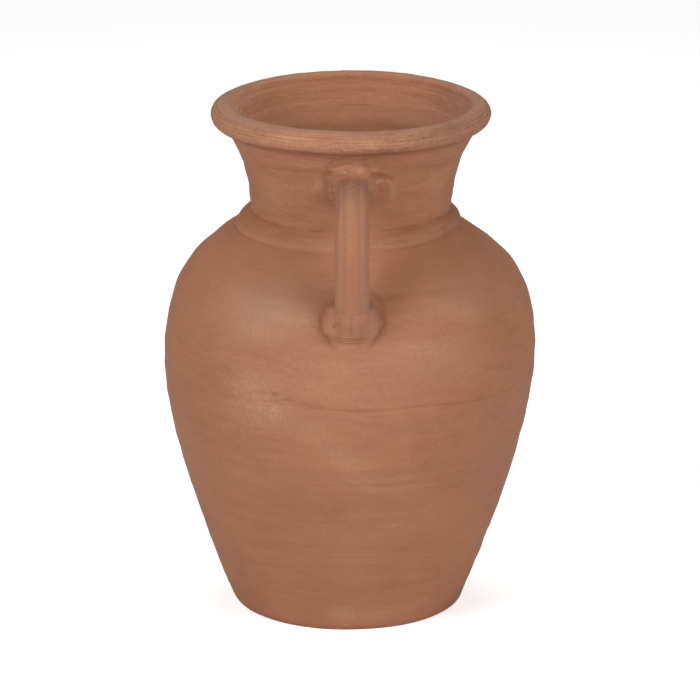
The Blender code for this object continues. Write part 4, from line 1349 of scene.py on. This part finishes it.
# (piece, CAD node it replaces, slot, material)
PIECES = [
    (build_lower_bowl(), "lower_bowl", "fired_clay_body", clay_body),
    (build_upper_shell(), "upper_shell", "fired_clay_body", clay_body),
    (build_neck(), "neck", "fired_clay_neck", clay_neck),
    (build_collar(), "neck_collar", "fired_clay_neck", clay_neck),
    (build_lip(), "rolled_lip", "fired_clay_lip", clay_lip),
    (build_handle(), "handle", "fired_clay_handle", clay_handle),
    (lower_wad(), "handle_lower_pad", "fired_clay_handle", clay_wad),
    (upper_wad(), "handle_upper_pad", "fired_clay_handle", clay_wad),
]
for piece, node, slot, material in PIECES:
    piece.data.materials.append(material)
    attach(piece, "root")
    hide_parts(node)

# ------------------------------------------------------------------ stage, in metres
FLOOR_HALF = 12
FLOOR_Z = -0.1 * MM               # a hair below the foot, so that the two faces never coincide


def build_floor():
    mesh = bpy.data.meshes.new("floor")
    corners = [(x * FLOOR_HALF, y * FLOOR_HALF, FLOOR_Z)
               for x, y in ((-1, -1), (1, -1), (1, 1), (-1, 1))]
    mesh.from_pydata(corners, [], [(0, 1, 2, 3)])
    floor = bpy.data.objects.new("floor", mesh)
    bpy.context.scene.collection.objects.link(floor)
    material = bpy.data.materials.new("pale_floor")
    material.use_nodes = True
    inputs = material.node_tree.nodes["Principled BSDF"].inputs
    inputs["Base Color"].default_value = (0.86, 0.86, 0.86, 1)
    inputs["Roughness"].default_value = 0.9
    inputs["Specular IOR Level"].default_value = 0.1
    # seen directly it is a bright white sweep; the light that it returns to the pot stays plain
    nodes = Nodes(material.node_tree)
    seen = nodes.put("ShaderNodeLightPath", {}).outputs["Is Camera Ray"]
    inputs["Emission Color"].default_value = (1.0, 1.0, 1.0, 1.0)
    nodes.feed(inputs["Emission Strength"], nodes.times(seen, 0.55))
    mesh.materials.append(material)


def build_world():
    world = bpy.data.worlds.new("studio")
    bpy.context.scene.world = world
    world.use_nodes = True
    background = world.node_tree.nodes["Background"].inputs
    background["Color"].default_value = (1.0, 1.0, 1.0, 1.0)
    background["Strength"].default_value = 0.02


# (name, azimuth from the handle in degrees, elevation in degrees, power in W)
SOFTBOXES = [
    ("key_left", -48, 32, 32.3),
    ("key_right", 48, 32, 24.8),
    ("low_fill", 24, 8, 5.8),
    ("back_light", 180, 55, 14.6),
]
SOFTBOX_DISTANCE = 2.2
SOFTBOX_SIZE = 1.0
AIM = Vector((0.0, 0.0, 0.15))


def build_softbox(name, azimuth, elevation, power):
    lamp = bpy.data.lights.new(name, "AREA")
    lamp.shape = "SQUARE"
    lamp.size = SOFTBOX_SIZE
    lamp.energy = power
    box = bpy.data.objects.new(name, lamp)
    turn, tilt = math.radians(azimuth), math.radians(elevation)
    direction = Vector((
        math.sin(turn) * math.cos(tilt), -math.cos(turn) * math.cos(tilt), math.sin(tilt)))
    box.location = AIM + SOFTBOX_DISTANCE * direction
    box.rotation_euler = (AIM - box.location).to_track_quat("-Z", "Y").to_euler()
    bpy.context.scene.collection.objects.link(box)


CAMERA_PLACE = (0.0, -2.79504, 1.01379)
CAMERA_DOWN = 17.178              # degrees below level


def build_camera():
    data = bpy.data.cameras.new("camera")
    data.sensor_width = 36.0
    data.lens = 257.14
    data.clip_end = 100.0
    camera = bpy.data.objects.new("camera", data)
    camera.location = CAMERA_PLACE
    camera.rotation_euler = (math.radians(90 - CAMERA_DOWN), 0.0, 0.0)
    bpy.context.scene.collection.objects.link(camera)
    bpy.context.scene.camera = camera


build_floor()
build_world()
for softbox in SOFTBOXES:
    build_softbox(*softbox)
build_camera()
bpy.context.scene.view_settings.view_transform = "Standard"
